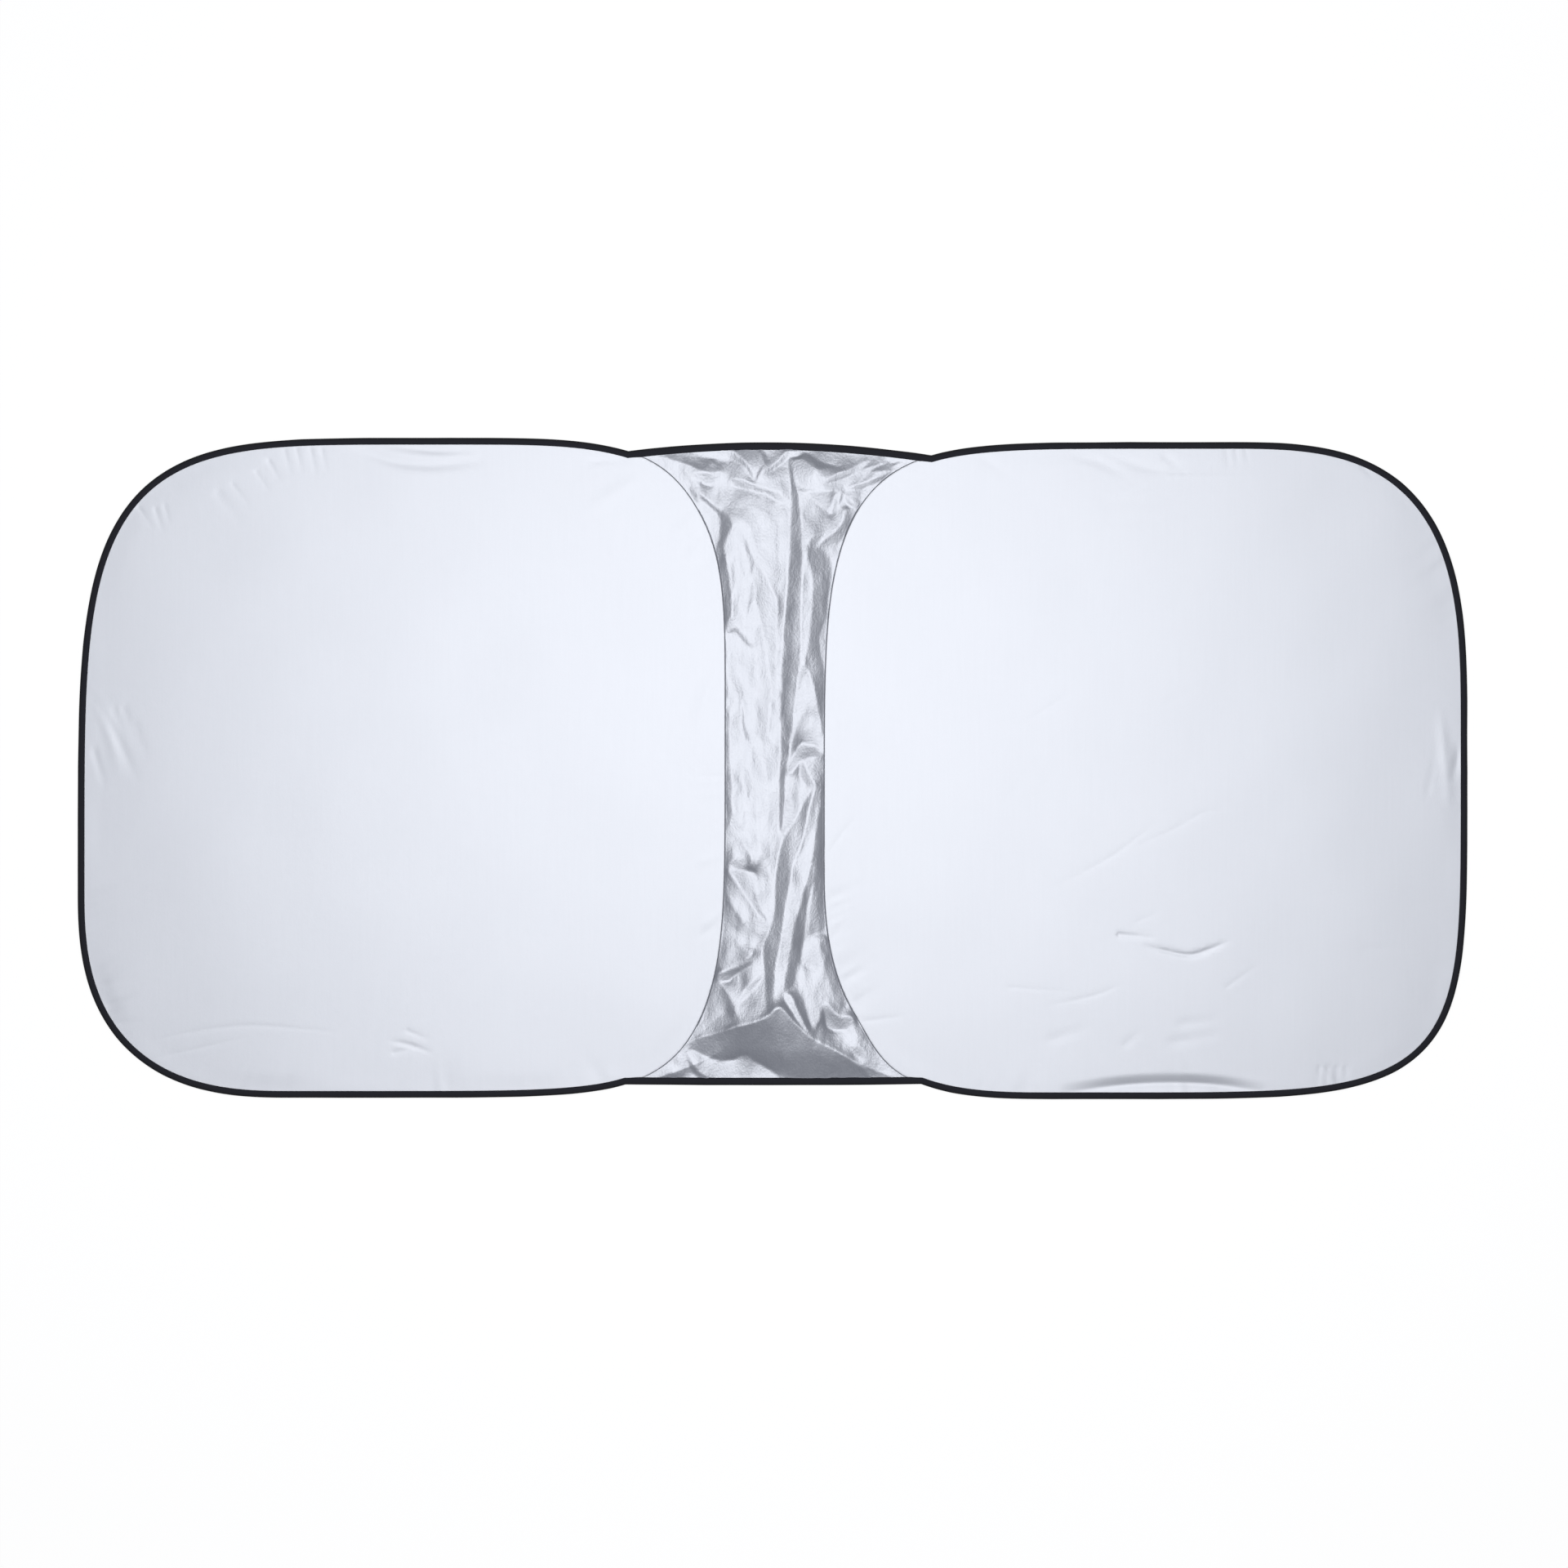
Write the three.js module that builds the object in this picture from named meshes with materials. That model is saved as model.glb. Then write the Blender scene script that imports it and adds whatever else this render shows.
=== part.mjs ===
// Windscreen sunshade: two sprung cloth panels, a slack cloth bridge between them
// and one black tape bound round the whole edge.
// Millimetres, +Z up. The shade lies flat with its silver face up. X runs along its
// length and Y from its lower to its upper edge, and it rests on Z = 0.
import * as THREE from "three";

// Cloth, tape and wire
const clothThickness = 0.4;
const tapeThickness = 0.5;
const bindingWidth = 7.5; // edge tape, from its fold to its sewn mouth
const casingWidth = 12; // tape sewn on the back over each inner arc
const wireDiameter = 1.8;
const wireSides = 6;
const wireClearance = 0.5; // running room of the wire in its channel
const layerGap = 0.3; // between layers that lie on each other

// Crimp sleeve that joins the two ends of a wire
const ferruleLength = 14;
const ferruleWall = 0.35;
const crimpGap = 0.05;

// Outside edge of each hoop: four extreme points, and the squareness of the
// superellipse quadrant that runs from each one to the next (2 is an ellipse). The
// first value holds towards the side and the second towards the top or bottom
const leftHoop = {
  right: { x: -50.5, y: 78 },
  top: { x: -355, y: 356.5 },
  left: { x: -749, y: -132 },
  bottom: { x: -521, y: -355 },
  squareness: {
    rightTop: [3.6, 3.95],
    leftTop: [4.5, 4.5],
    leftBottom: [2.6, 2.6],
    rightBottom: [5.6, 6.45],
  },
};
const rightHoop = {
  right: { x: 749, y: 42 },
  top: { x: 487, y: 352 },
  left: { x: 55, y: -105 },
  bottom: { x: 305, y: -356.5 },
  squareness: {
    rightTop: [3.1, 3.1],
    leftTop: [5.4, 5.75],
    leftBottom: [2.6, 3.1],
    rightBottom: [5.5, 5.5],
  },
};

// Where the edge tape parts from a hoop and runs across the bridge, measured
// outwards from the hoop's inner side
const tapeLeavesLeftTop = 105;
const tapeLeavesLeftBottom = 108;
const tapeLeavesRightTop = 116;
const tapeLeavesRightBottom = 105;
const bridgeTopBow = 11.7; // how far the tape bows outwards between the hoops
const bridgeBottomBow = 1;

// Bridge cloth: it leaves the seams level and sinks to what the shade lies on
const slackRun = 25; // width of the strip in which it sinks
const reliefRun = 12; // width of the strip in which its folds rise from the seams
const foldEndRun = 26; // length in which a fold rises from each of its ends
const bridgeColumns = 20;
const bridgeRows = 42;

// Folds of the bridge cloth. Each has a crest line, a height, and the widths of its
// flanks to the left and to the right of the crest, looking along the line
const bridgeFolds = [
  { name: "upper centre pleat", height: 12, left: 17, right: 30,
    crest: [[12, -67], [14, -20], [22, 38], [29, 100], [31, 162], [33, 235], [32, 267], [27, 300]] },
  { name: "upper centre slope", height: 5, left: 40, right: 10,
    crest: [[2, 20], [4, 90], [8, 150], [16, 230]] },
  { name: "lower centre ridge", height: 14, left: 15, right: 34,
    crest: [[-4, -262], [5, -215], [12, -165], [21, -118], [32, -78], [46, -18]] },
  { name: "upper left seam fold", height: 9, left: 14, right: 34,
    crest: [[-42, 120], [-44, 178], [-48, 222], [-45, 262], [-70, 288]] },
  { name: "lower left seam fold", height: 7, left: 10, right: 26,
    crest: [[-42, -84], [-43, -40], [-42, 60]] },
  { name: "upper right shoulder", height: 9, left: 16, right: 24,
    crest: [[36, 110], [48, 160], [40, 222], [56, 252], [92, 276]] },
  { name: "lower right shoulder", height: 6, left: 12, right: 16,
    crest: [[34, -200], [40, -125], [54, -30]] },
  { name: "bottom brow", height: 19, left: 34, right: 52,
    crest: [[-96, -297], [-62, -283], [-20, -271], [8, -255], [36, -282], [76, -303], [106, -326]] },
  { name: "top shelf", height: 8, left: 24, right: 20,
    crest: [[-96, 322], [-66, 309], [-33, 308], [-6, 301], [14, 294]] },
  { name: "top right facet", height: 7, left: 14, right: 20,
    crest: [[28, 299], [56, 306], [91, 318]] },
  { name: "top left lip", height: 5, left: 9, right: 14,
    crest: [[-84, 337], [-46, 333], [-20, 308]] },
  { name: "top peak", height: 5, left: 9, right: 12,
    crest: [[-20, 308], [-4, 321], [18, 334]] },
  { name: "left elbow", height: 6, left: 12, right: 24,
    crest: [[-50, 148], [-35, 152], [-24, 132], [-20, 90]] },
  { name: "right arch", height: 8, left: 14, right: 16,
    crest: [[12, -8], [22, 13], [35, 25], [57, 12]] },
  { name: "left crease", height: 7, left: 22, right: 13,
    crest: [[-48, -102], [-22, -110], [-10, -140], [-8, -180]] },
  { name: "left zigzag", height: 9, left: 14, right: 20,
    crest: [[-40, -150], [-34, -180], [-14, -202], [-34, -222], [-54, -232]] },
  { name: "bottom left pucker", height: 6, left: 12, right: 14,
    crest: [[-95, -298], [-84, -318], [-70, -336]] },
];

// Levels of the layers, from the ground up
const wireRadius = wireDiameter / 2;
const channelHalf = wireRadius + wireClearance;
const wireLevel = tapeThickness + channelHalf;
const clothLevel = wireLevel + channelHalf; // underside of the cloth over a wire
const slackLevel = tapeThickness + layerGap; // underside of the cloth with no wire
const sewnLegRise = clothLevel - layerGap - tapeThickness;

// Distances inwards from the outside edge
const edgeToWire = tapeThickness + channelHalf;
const edgeToCloth = tapeThickness + layerGap;
const edgeToChannelEnd = edgeToWire + channelHalf;
const seamEdge = edgeToCloth - layerGap; // bridge cloth, beside a panel's cloth
const casingReach = casingWidth / 2 + layerGap; // from the wire, clear of the casing
const seamLand = edgeToWire - casingReach; // bridge cloth is level up to here
const tapeLand = bindingWidth + layerGap; // and up to here beside the tape

const silverCloth = { color: 0xd6dae3, roughness: 0.5, metalness: 0.35 };
const bridgeSilver = { color: 0xd9dce6, roughness: 0.35, metalness: 0.55 };
const blackTape = { color: 0x25272d, roughness: 0.9, metalness: 0 };
const casingTape = { color: 0x3a3d44, roughness: 0.9, metalness: 0 };
const springSteel = { color: 0x8c9096, roughness: 0.35, metalness: 1 };

const smooth = (value) => THREE.MathUtils.smoothstep(value, 0, 1);
const lerp = THREE.MathUtils.lerp;

// A point of a hoop's outside edge at a turn in degrees, counted from its right side
function hoopPoint(hoop, turn) {
  const angle = THREE.MathUtils.degToRad(turn);
  const cos = Math.cos(angle);
  const sin = Math.sin(angle);
  const side = cos >= 0 ? hoop.right : hoop.left;
  const pole = sin >= 0 ? hoop.top : hoop.bottom;
  const quadrant = (cos >= 0 ? "right" : "left") + (sin >= 0 ? "Top" : "Bottom");
  const across = Math.abs(cos / (side.x - pole.x));
  const along = Math.abs(sin / (pole.y - side.y));
  const share = Math.atan2(along, across) / (Math.PI / 2);
  const [towardsSide, towardsPole] = hoop.squareness[quadrant];
  const power = lerp(towardsSide, towardsPole, THREE.MathUtils.smoothstep(share, 0.4, 0.62));
  const radius = (across ** power + along ** power) ** (-1 / power);
  return new THREE.Vector2(pole.x + radius * cos, side.y + radius * sin);
}

// The turn between two others at which the hoop's edge reaches a given x
function turnAtX(hoop, x, from, to) {
  let low = from;
  let high = to;
  const rising = hoopPoint(hoop, to).x > hoopPoint(hoop, from).x;
  for (let step = 0; step < 50; step++) {
    const middle = (low + high) / 2;
    if (hoopPoint(hoop, middle).x < x === rising) low = middle;
    else high = middle;
  }
  return (low + high) / 2;
}

// Points along a hoop's edge from one turn to another, closer where it curves more
function hoopArc(hoop, from, to) {
  const fineStep = 0.25;
  const stepLength = 70;
  const stepTurn = 9;
  const count = Math.ceil((to - from) / fineStep);
  const fine = [];
  for (let i = 0; i <= count; i++) fine.push(hoopPoint(hoop, lerp(from, to, i / count)));
  const reach = [0];
  for (let i = 1; i <= count; i++) {
    const step = fine[i].clone().sub(fine[i - 1]);
    const next = fine[Math.min(i + 1, count)].clone().sub(fine[i]);
    const bend = next.length() > 0 ? Math.abs(step.cross(next)) / (step.length() * next.length()) : 0;
    reach.push(reach[i - 1] + step.length() / stepLength + THREE.MathUtils.radToDeg(bend) / stepTurn);
  }
  const steps = Math.ceil(reach[count]);
  const points = [];
  for (let i = 0, k = 0; i <= steps; i++) {
    const target = (reach[count] * i) / steps;
    while (k < count && reach[k] < target) k++;
    points.push(fine[k]);
  }
  return points;
}

// For each point of a closed loop, the step that moves it 1 mm to the loop's left
function loopMitres(points) {
  return points.map((point, i) => {
    const before = points.at(i - 1);
    const after = points[(i + 1) % points.length];
    const left = (a, b) => new THREE.Vector2(a.y - b.y, b.x - a.x).normalize();
    const normalIn = left(before, point);
    const normalOut = left(point, after);
    const middle = normalIn.clone().add(normalOut).normalize();
    return middle.divideScalar(middle.dot(normalIn));
  });
}

const offsetLoop = (points, mitres, distance) =>
  points.map((point, i) => point.clone().addScaledVector(mitres[i], distance));

// A body swept along a path in the ground plane. sectionAt gives the section at a
// place of the path as points [distance inwards, height], anticlockwise
function sweep(path, mitres, sectionAt, closed) {
  const positions = [];
  const sections = path.map((point, i) => sectionAt(i));
  const size = sections[0].length;
  sections.forEach((section, i) => {
    for (const [inwards, height] of section) {
      const place = path[i].clone().addScaledVector(mitres[i], inwards);
      positions.push(place.x, place.y, height);
    }
  });
  const index = [];
  const spans = closed ? path.length : path.length - 1;
  for (let i = 0; i < spans; i++) {
    const here = i * size;
    const there = ((i + 1) % path.length) * size;
    for (let k = 0; k < size; k++) {
      const next = (k + 1) % size;
      index.push(here + k, there + next, there + k, here + k, here + next, there + next);
    }
  }
  if (!closed) {
    const outline = sections[0].map(([inwards, height]) => new THREE.Vector2(inwards, height));
    const last = (path.length - 1) * size;
    for (const [a, b, c] of THREE.ShapeUtils.triangulateShape(outline, [])) {
      index.push(c, b, a, last + a, last + b, last + c);
    }
  }
  return indexedGeometry(positions, index);
}

function indexedGeometry(positions, index) {
  const geometry = new THREE.BufferGeometry();
  geometry.setAttribute("position", new THREE.Float32BufferAttribute(positions, 3));
  geometry.setIndex(index);
  geometry.computeVertexNormals();
  return geometry;
}

function meshOf(name, geometry, look) {
  const mesh = new THREE.Mesh(geometry, new THREE.MeshStandardMaterial(look));
  mesh.name = name;
  return mesh;
}

// Nearest place of a polyline to a point: distance, side (positive to the left),
// length run before it and the polyline's whole length
function nearestOnPath(point, path) {
  let best = { distance: Infinity, side: 1, run: 0 };
  let length = 0;
  for (let i = 0; i + 1 < path.length; i++) {
    const step = path[i + 1].clone().sub(path[i]);
    const toPoint = point.clone().sub(path[i]);
    const share = THREE.MathUtils.clamp(toPoint.dot(step) / step.lengthSq(), 0, 1);
    const distance = toPoint.clone().addScaledVector(step, -share).length();
    if (distance < best.distance) {
      best = { distance, side: Math.sign(step.cross(toPoint)), run: length + share * step.length() };
    }
    length += step.length();
  }
  return { ...best, length };
}

// First crossing of two polylines, with the place of the last point before it on each
function crossing(pathA, pathB) {
  for (let i = 0; i + 1 < pathA.length; i++) {
    const stepA = pathA[i + 1].clone().sub(pathA[i]);
    for (let j = 0; j + 1 < pathB.length; j++) {
      const stepB = pathB[j + 1].clone().sub(pathB[j]);
      const between = pathB[j].clone().sub(pathA[i]);
      const across = stepA.cross(stepB);
      const shareA = between.cross(stepB) / across;
      const shareB = between.cross(stepA) / across;
      if (shareA >= 0 && shareA <= 1 && shareB >= 0 && shareB <= 1) {
        return { point: pathA[i].clone().addScaledVector(stepA, shareA), onA: i, onB: j };
      }
    }
  }
  throw new Error("the two lines don't cross");
}

// Points spread evenly along a polyline, both ends included
function spread(path, steps) {
  const whole = nearestOnPath(path[0], path).length;
  const points = [];
  let run = 0;
  let k = 0;
  for (let i = 0; i <= steps; i++) {
    const target = (whole * i) / steps;
    while (k + 2 < path.length && run + path[k].distanceTo(path[k + 1]) < target) {
      run += path[k].distanceTo(path[k + 1]);
      k++;
    }
    const share = Math.min(1, (target - run) / path[k].distanceTo(path[k + 1]));
    points.push(path[k].clone().lerp(path[k + 1], share));
  }
  return points;
}

// The hoops, each as one closed loop: its outer arc first, then its inner arc
function layOutHoop(hoop, outerFrom, outerTo) {
  const outer = hoopArc(hoop, outerFrom, outerTo);
  const inner = hoopArc(hoop, outerTo, outerFrom + 360);
  const loop = [...outer, ...inner.slice(1, -1)];
  const mitres = loopMitres(loop);
  const offset = (distance) => offsetLoop(loop, mitres, distance);
  const innerArc = (distance) => {
    const moved = offset(distance);
    return [...moved.slice(outer.length - 1), moved[0]];
  };
  return { outer, loop, mitres, offset, innerArc };
}

const left = layOutHoop(
  leftHoop,
  turnAtX(leftHoop, leftHoop.right.x - tapeLeavesLeftTop, 0, 90),
  turnAtX(leftHoop, leftHoop.right.x - tapeLeavesLeftBottom, 270, 360),
);
const right = layOutHoop(
  rightHoop,
  turnAtX(rightHoop, rightHoop.left.x + tapeLeavesRightBottom, 180, 270),
  turnAtX(rightHoop, rightHoop.left.x + tapeLeavesRightTop, 90, 180) + 360,
);
const wires = [left, right].map((hoop) => {
  const loop = hoop.offset(edgeToWire);
  return [...loop, loop[0]];
});

// The outside edge of the shade: both outer arcs, and the tape's runs between them
function bridgeRun(from, to, bow) {
  const outwards = new THREE.Vector2(to.y - from.y, from.x - to.x).normalize();
  const control = from.clone().lerp(to, 0.5).addScaledVector(outwards, 2 * bow);
  return new THREE.QuadraticBezierCurve(from, control, to).getSpacedPoints(bridgeColumns + 2);
}
const bottomRun = bridgeRun(left.outer.at(-1), right.outer[0], bridgeBottomBow);
const topRun = bridgeRun(right.outer.at(-1), left.outer[0], bridgeTopBow);
const edge = [...left.outer, ...bottomRun.slice(1, -1), ...right.outer, ...topRun.slice(1, -1)];
const edgeMitres = loopMitres(edge);
const bottomStart = left.outer.length - 1;
const topStart = bottomStart + bottomRun.length - 1 + right.outer.length - 1;

// How far the cloth has sunk at a place, from 0 beside a wire to 1
function slackAt(place) {
  const toWires = wires.map((wire) => nearestOnPath(place, wire).distance);
  return smooth((Math.min(...toWires) - casingReach) / slackRun);
}
const clothUnderside = (place) => lerp(clothLevel, slackLevel, slackAt(place));

// Edge tape folded round the edge. On a hoop its back leg rises from the wire to the
// sewn mouth. Between the hoops it lies flat on the ground with the cloth in it
function makeBinding() {
  const isOnHoop = (i) => i <= bottomStart || (i >= bottomStart + bottomRun.length - 1 && i <= topStart);
  const partings = [left.outer[0], left.outer.at(-1), right.outer[0], right.outer.at(-1)];
  const openRun = 40;
  const sectionAt = (i) => {
    const fromParting = Math.min(...partings.map((place) => place.distanceTo(edge[i])));
    const mouth = isOnHoop(i) ? smooth(fromParting / openRun) * sewnLegRise : 0;
    const frontLeg = (inwards) => {
      const place = edge[i].clone().addScaledVector(edgeMitres[i], inwards);
      return clothUnderside(place) + clothThickness + layerGap;
    };
    const frontAtFold = frontLeg(tapeThickness);
    const frontAtMouth = frontLeg(bindingWidth);
    return [
      [tapeThickness, 0],
      [edgeToChannelEnd, 0],
      [bindingWidth, mouth],
      [bindingWidth, mouth + tapeThickness],
      [edgeToChannelEnd, tapeThickness],
      [tapeThickness, tapeThickness],
      [tapeThickness, frontAtFold],
      [bindingWidth, frontAtMouth],
      [bindingWidth, frontAtMouth + tapeThickness],
      [tapeThickness, frontAtFold + tapeThickness],
      [0, frontAtFold],
      [0, tapeThickness],
    ];
  };
  return meshOf("edge_binding", sweep(edge, edgeMitres, sectionAt, true), blackTape);
}

// One taut panel, level over its wire all round
function makePanel(name, hoop) {
  const shape = new THREE.Shape(hoop.offset(edgeToCloth));
  const geometry = new THREE.ExtrudeGeometry(shape, { depth: clothThickness, bevelEnabled: false });
  geometry.translate(0, 0, clothLevel);
  return meshOf(name, geometry, silverCloth);
}

const wireSection = (radius) =>
  Array.from({ length: wireSides }, (_, k) => {
    const angle = (2 * Math.PI * k) / wireSides;
    return [radius * Math.cos(angle), radius * Math.sin(angle)];
  });

function makeWire(name, hoop) {
  const section = wireSection(wireRadius).map(([x, y]) => [edgeToWire + x, wireLevel + y]);
  return meshOf(name, sweep(hoop.loop, hoop.mitres, () => section, true), springSteel);
}

// The sleeve sits on the straight step of the wire under the hoop's lowest point
function makeFerrule(name, hoop, shape) {
  const wire = hoop.offset(edgeToWire);
  const place = wire.findIndex(
    (point, i) => i > 0 && point.x > shape.bottom.x && wire[i - 1].x <= shape.bottom.x && point.y < shape.left.y,
  );
  const from = wire[place - 1];
  const step = wire[place].clone().sub(from);
  const along = new THREE.Vector3(step.x, step.y, 0).normalize();
  const inwards = new THREE.Vector3(-along.y, along.x, 0);
  const ring = (radius) => wireSection(radius).map(([x, y]) => new THREE.Vector2(x, y));
  const outline = new THREE.Shape(ring(wireRadius + crimpGap + ferruleWall));
  outline.holes.push(new THREE.Path(ring(wireRadius + crimpGap)));
  const geometry = new THREE.ExtrudeGeometry(outline, { depth: ferruleLength, bevelEnabled: false });
  geometry.translate(0, 0, -ferruleLength / 2);
  const mesh = meshOf(name, geometry, springSteel);
  mesh.setRotationFromMatrix(new THREE.Matrix4().makeBasis(inwards, new THREE.Vector3(0, 0, 1), along));
  mesh.position.set(from.x + step.x / 2, from.y + step.y / 2, wireLevel);
  return mesh;
}

// The stretch of a hoop's inner arc on which its wire is further than a distance from
// the outside edge, as points of the hoop's edge and their mitres
function innerStretch(hoop, fromEdge) {
  const wire = hoop.innerArc(edgeToWire);
  const start = hoop.outer.length - 1;
  const places = wire.map((_, i) => (start + i) % hoop.loop.length);
  const line = offsetLoop(edge, edgeMitres, fromEdge);
  const limit = [...line, line[0]];
  const enter = crossing(wire, limit);
  const leave = crossing(wire.toReversed(), limit);
  const first = enter.onA;
  const last = wire.length - 2 - leave.onA;
  const atWire = (values, i, point) => {
    const share = wire[i].distanceTo(point) / wire[i].distanceTo(wire[i + 1]);
    return values[places[i]].clone().lerp(values[places[i + 1]], share);
  };
  const cut = (values) => [
    atWire(values, first, enter.point),
    ...places.slice(first + 1, last + 1).map((i) => values[i]),
    atWire(values, last, leave.point),
  ];
  return { path: cut(hoop.loop), mitres: cut(hoop.mitres) };
}

// Tape sewn to the cloth on both sides of an inner arc, with the wire in its channel.
// It starts and ends where the wire has left the edge tape
function makeCasing(name, hoop) {
  const half = casingWidth / 2;
  const outerHalf = channelHalf + tapeThickness;
  const flange = sewnLegRise;
  const section = [
    [-half, flange],
    [-outerHalf, flange],
    [-outerHalf, 0],
    [outerHalf, 0],
    [outerHalf, flange],
    [half, flange],
    [half, flange + tapeThickness],
    [channelHalf, flange + tapeThickness],
    [channelHalf, tapeThickness],
    [-channelHalf, tapeThickness],
    [-channelHalf, flange + tapeThickness],
    [-half, flange + tapeThickness],
  ].map(([inwards, height]) => [edgeToWire + inwards, height]);
  const { path, mitres } = innerStretch(hoop, bindingWidth + outerHalf + layerGap);
  return meshOf(name, sweep(path, mitres, () => section, false), casingTape);
}

// Height of the bridge cloth's folds at a place
const foldLines = bridgeFolds.map((fold) => ({
  ...fold,
  line: fold.crest.map(([x, y]) => new THREE.Vector2(x, y)),
}));
function foldHeight(place) {
  let height = 0;
  for (const fold of foldLines) {
    const near = nearestOnPath(place, fold.line);
    const flank = near.side >= 0 ? fold.left : fold.right;
    const rise = Math.max(0, 1 - near.distance / flank);
    const toEnd = Math.min(near.run, near.length - near.run);
    height += fold.height * rise ** 1.3 * smooth(0.15 + toEnd / foldEndRun);
  }
  return height;
}

// Triangles between two polylines that run side by side, as places in one list
function zip(outer, inner, points) {
  const triangles = [];
  let i = 0;
  let k = 0;
  while (i + 1 < outer.length || k + 1 < inner.length) {
    const onOuter = i + 1 < outer.length ? points[outer[i + 1]].distanceTo(points[inner[k]]) : Infinity;
    const onInner = k + 1 < inner.length ? points[outer[i]].distanceTo(points[inner[k + 1]]) : Infinity;
    if (onOuter <= onInner) {
      triangles.push([outer[i], outer[i + 1], inner[k]]);
      i++;
    } else {
      triangles.push([outer[i], inner[k + 1], inner[k]]);
      k++;
    }
  }
  return triangles;
}

// Slack cloth between the hoops: a level rim in the tape and along both seams, and a
// grid of folds inside it
function makeBridge() {
  const tapeRunAt = (start, count, distance) => {
    const moved = offsetLoop(edge, edgeMitres, distance);
    const places = Array.from({ length: count + 2 }, (_, i) => (start - 1 + i) % edge.length);
    return places.map((i) => moved[i]);
  };
  const sidesAt = (tapeDistance, seamDistance) => {
    const bottom = tapeRunAt(bottomStart, bottomRun.length, tapeDistance);
    const top = tapeRunAt(topStart, topRun.length, tapeDistance).reverse();
    const leftSeam = left.innerArc(seamDistance);
    const rightSeam = right.innerArc(seamDistance).reverse();
    const between = (path, start, end, startAt, endAt) =>
      [start, ...path.slice(startAt + 1, endAt + 1), end];
    const lowLeft = crossing(bottom, leftSeam);
    const lowRight = crossing(bottom.toReversed(), rightSeam);
    const highLeft = crossing(top, leftSeam.toReversed());
    const highRight = crossing(top.toReversed(), rightSeam.toReversed());
    const fromEnd = (path, place) => path.length - 2 - place;
    return {
      bottom: between(bottom, lowLeft.point, lowRight.point, lowLeft.onA, fromEnd(bottom, lowRight.onA)),
      top: between(top, highLeft.point, highRight.point, highLeft.onA, fromEnd(top, highRight.onA)),
      left: between(leftSeam, lowLeft.point, highLeft.point, lowLeft.onB, fromEnd(leftSeam, highLeft.onB)),
      right: between(rightSeam, lowRight.point, highRight.point, lowRight.onB, fromEnd(rightSeam, highRight.onB)),
    };
  };
  const rim = sidesAt(edgeToCloth, seamEdge);
  const land = sidesAt(tapeLand, seamLand);

  // A Coons patch over the land lines
  const south = spread(land.bottom, bridgeColumns);
  const north = spread(land.top, bridgeColumns);
  const west = spread(land.left, bridgeRows);
  const east = spread(land.right, bridgeRows);
  const points = [];
  for (let j = 0; j <= bridgeRows; j++) {
    const v = j / bridgeRows;
    for (let i = 0; i <= bridgeColumns; i++) {
      const u = i / bridgeColumns;
      const across = west[j].clone().lerp(east[j], u);
      const along = south[i].clone().lerp(north[i], v);
      const low = south[0].clone().lerp(south[bridgeColumns], u);
      const high = north[0].clone().lerp(north[bridgeColumns], u);
      points.push(across.add(along).sub(low.lerp(high, v)));
    }
  }
  const gridPlace = (i, j) => j * (bridgeColumns + 1) + i;
  const triangles = [];
  for (let j = 0; j < bridgeRows; j++) {
    for (let i = 0; i < bridgeColumns; i++) {
      const [a, b] = [gridPlace(i, j), gridPlace(i + 1, j)];
      const [c, d] = [gridPlace(i + 1, j + 1), gridPlace(i, j + 1)];
      if ((i + j) % 2 === 0) triangles.push([a, b, c], [a, c, d]);
      else triangles.push([a, b, d], [b, c, d]);
    }
  }

  // The level rim round it, anticlockwise side by side
  const columns = Array.from({ length: bridgeColumns + 1 }, (_, i) => i);
  const rows = Array.from({ length: bridgeRows + 1 }, (_, j) => j);
  const sides = [
    [rim.bottom, columns.map((i) => gridPlace(i, 0))],
    [rim.right, rows.map((j) => gridPlace(bridgeColumns, j))],
    [rim.top.toReversed(), columns.toReversed().map((i) => gridPlace(i, bridgeRows))],
    [rim.left.toReversed(), rows.toReversed().map((j) => gridPlace(0, j))],
  ];
  const rimStart = points.length;
  const rimCount = sides.reduce((sum, [outer]) => sum + outer.length - 1, 0);
  for (const [outer, inner] of sides) {
    const first = points.length;
    points.push(...outer.slice(0, -1));
    const places = outer.map((_, i) => rimStart + ((first - rimStart + i) % rimCount));
    triangles.push({ places, inner });
  }
  const faces = triangles.flatMap((item) => (Array.isArray(item) ? [item] : zip(item.places, item.inner, points)));

  // Heights, then the two faces of the cloth and its cut edge
  const landLoop = [
    ...land.bottom,
    ...land.right.slice(1),
    ...land.top.toReversed().slice(1),
    ...land.left.toReversed().slice(1),
  ];
  const undersides = points.map((place, i) => {
    const inside = i < rimStart ? smooth(nearestOnPath(place, landLoop).distance / reliefRun) : 0;
    return clothUnderside(place) + inside * foldHeight(place);
  });
  const positions = [];
  for (const lift of [0, clothThickness]) {
    points.forEach((place, i) => positions.push(place.x, place.y, undersides[i] + lift));
  }
  const index = [];
  const upper = points.length;
  for (const [a, b, c] of faces) index.push(c, b, a, upper + a, upper + b, upper + c);
  for (let i = 0; i < rimCount; i++) {
    const here = rimStart + i;
    const next = rimStart + ((i + 1) % rimCount);
    index.push(here, next, upper + next, here, upper + next, upper + here);
  }
  return meshOf("bridge_panel", indexedGeometry(positions, index), bridgeSilver);
}

const sunshade = new THREE.Group();
sunshade.add(
  makePanel("left_panel", left),
  makePanel("right_panel", right),
  makeBridge(),
  makeBinding(),
  makeWire("left_hoop", left),
  makeWire("right_hoop", right),
  makeFerrule("left_ferrule", left, leftHoop),
  makeFerrule("right_ferrule", right, rightHoop),
  makeCasing("left_casing", left),
  makeCasing("right_casing", right),
);

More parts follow.
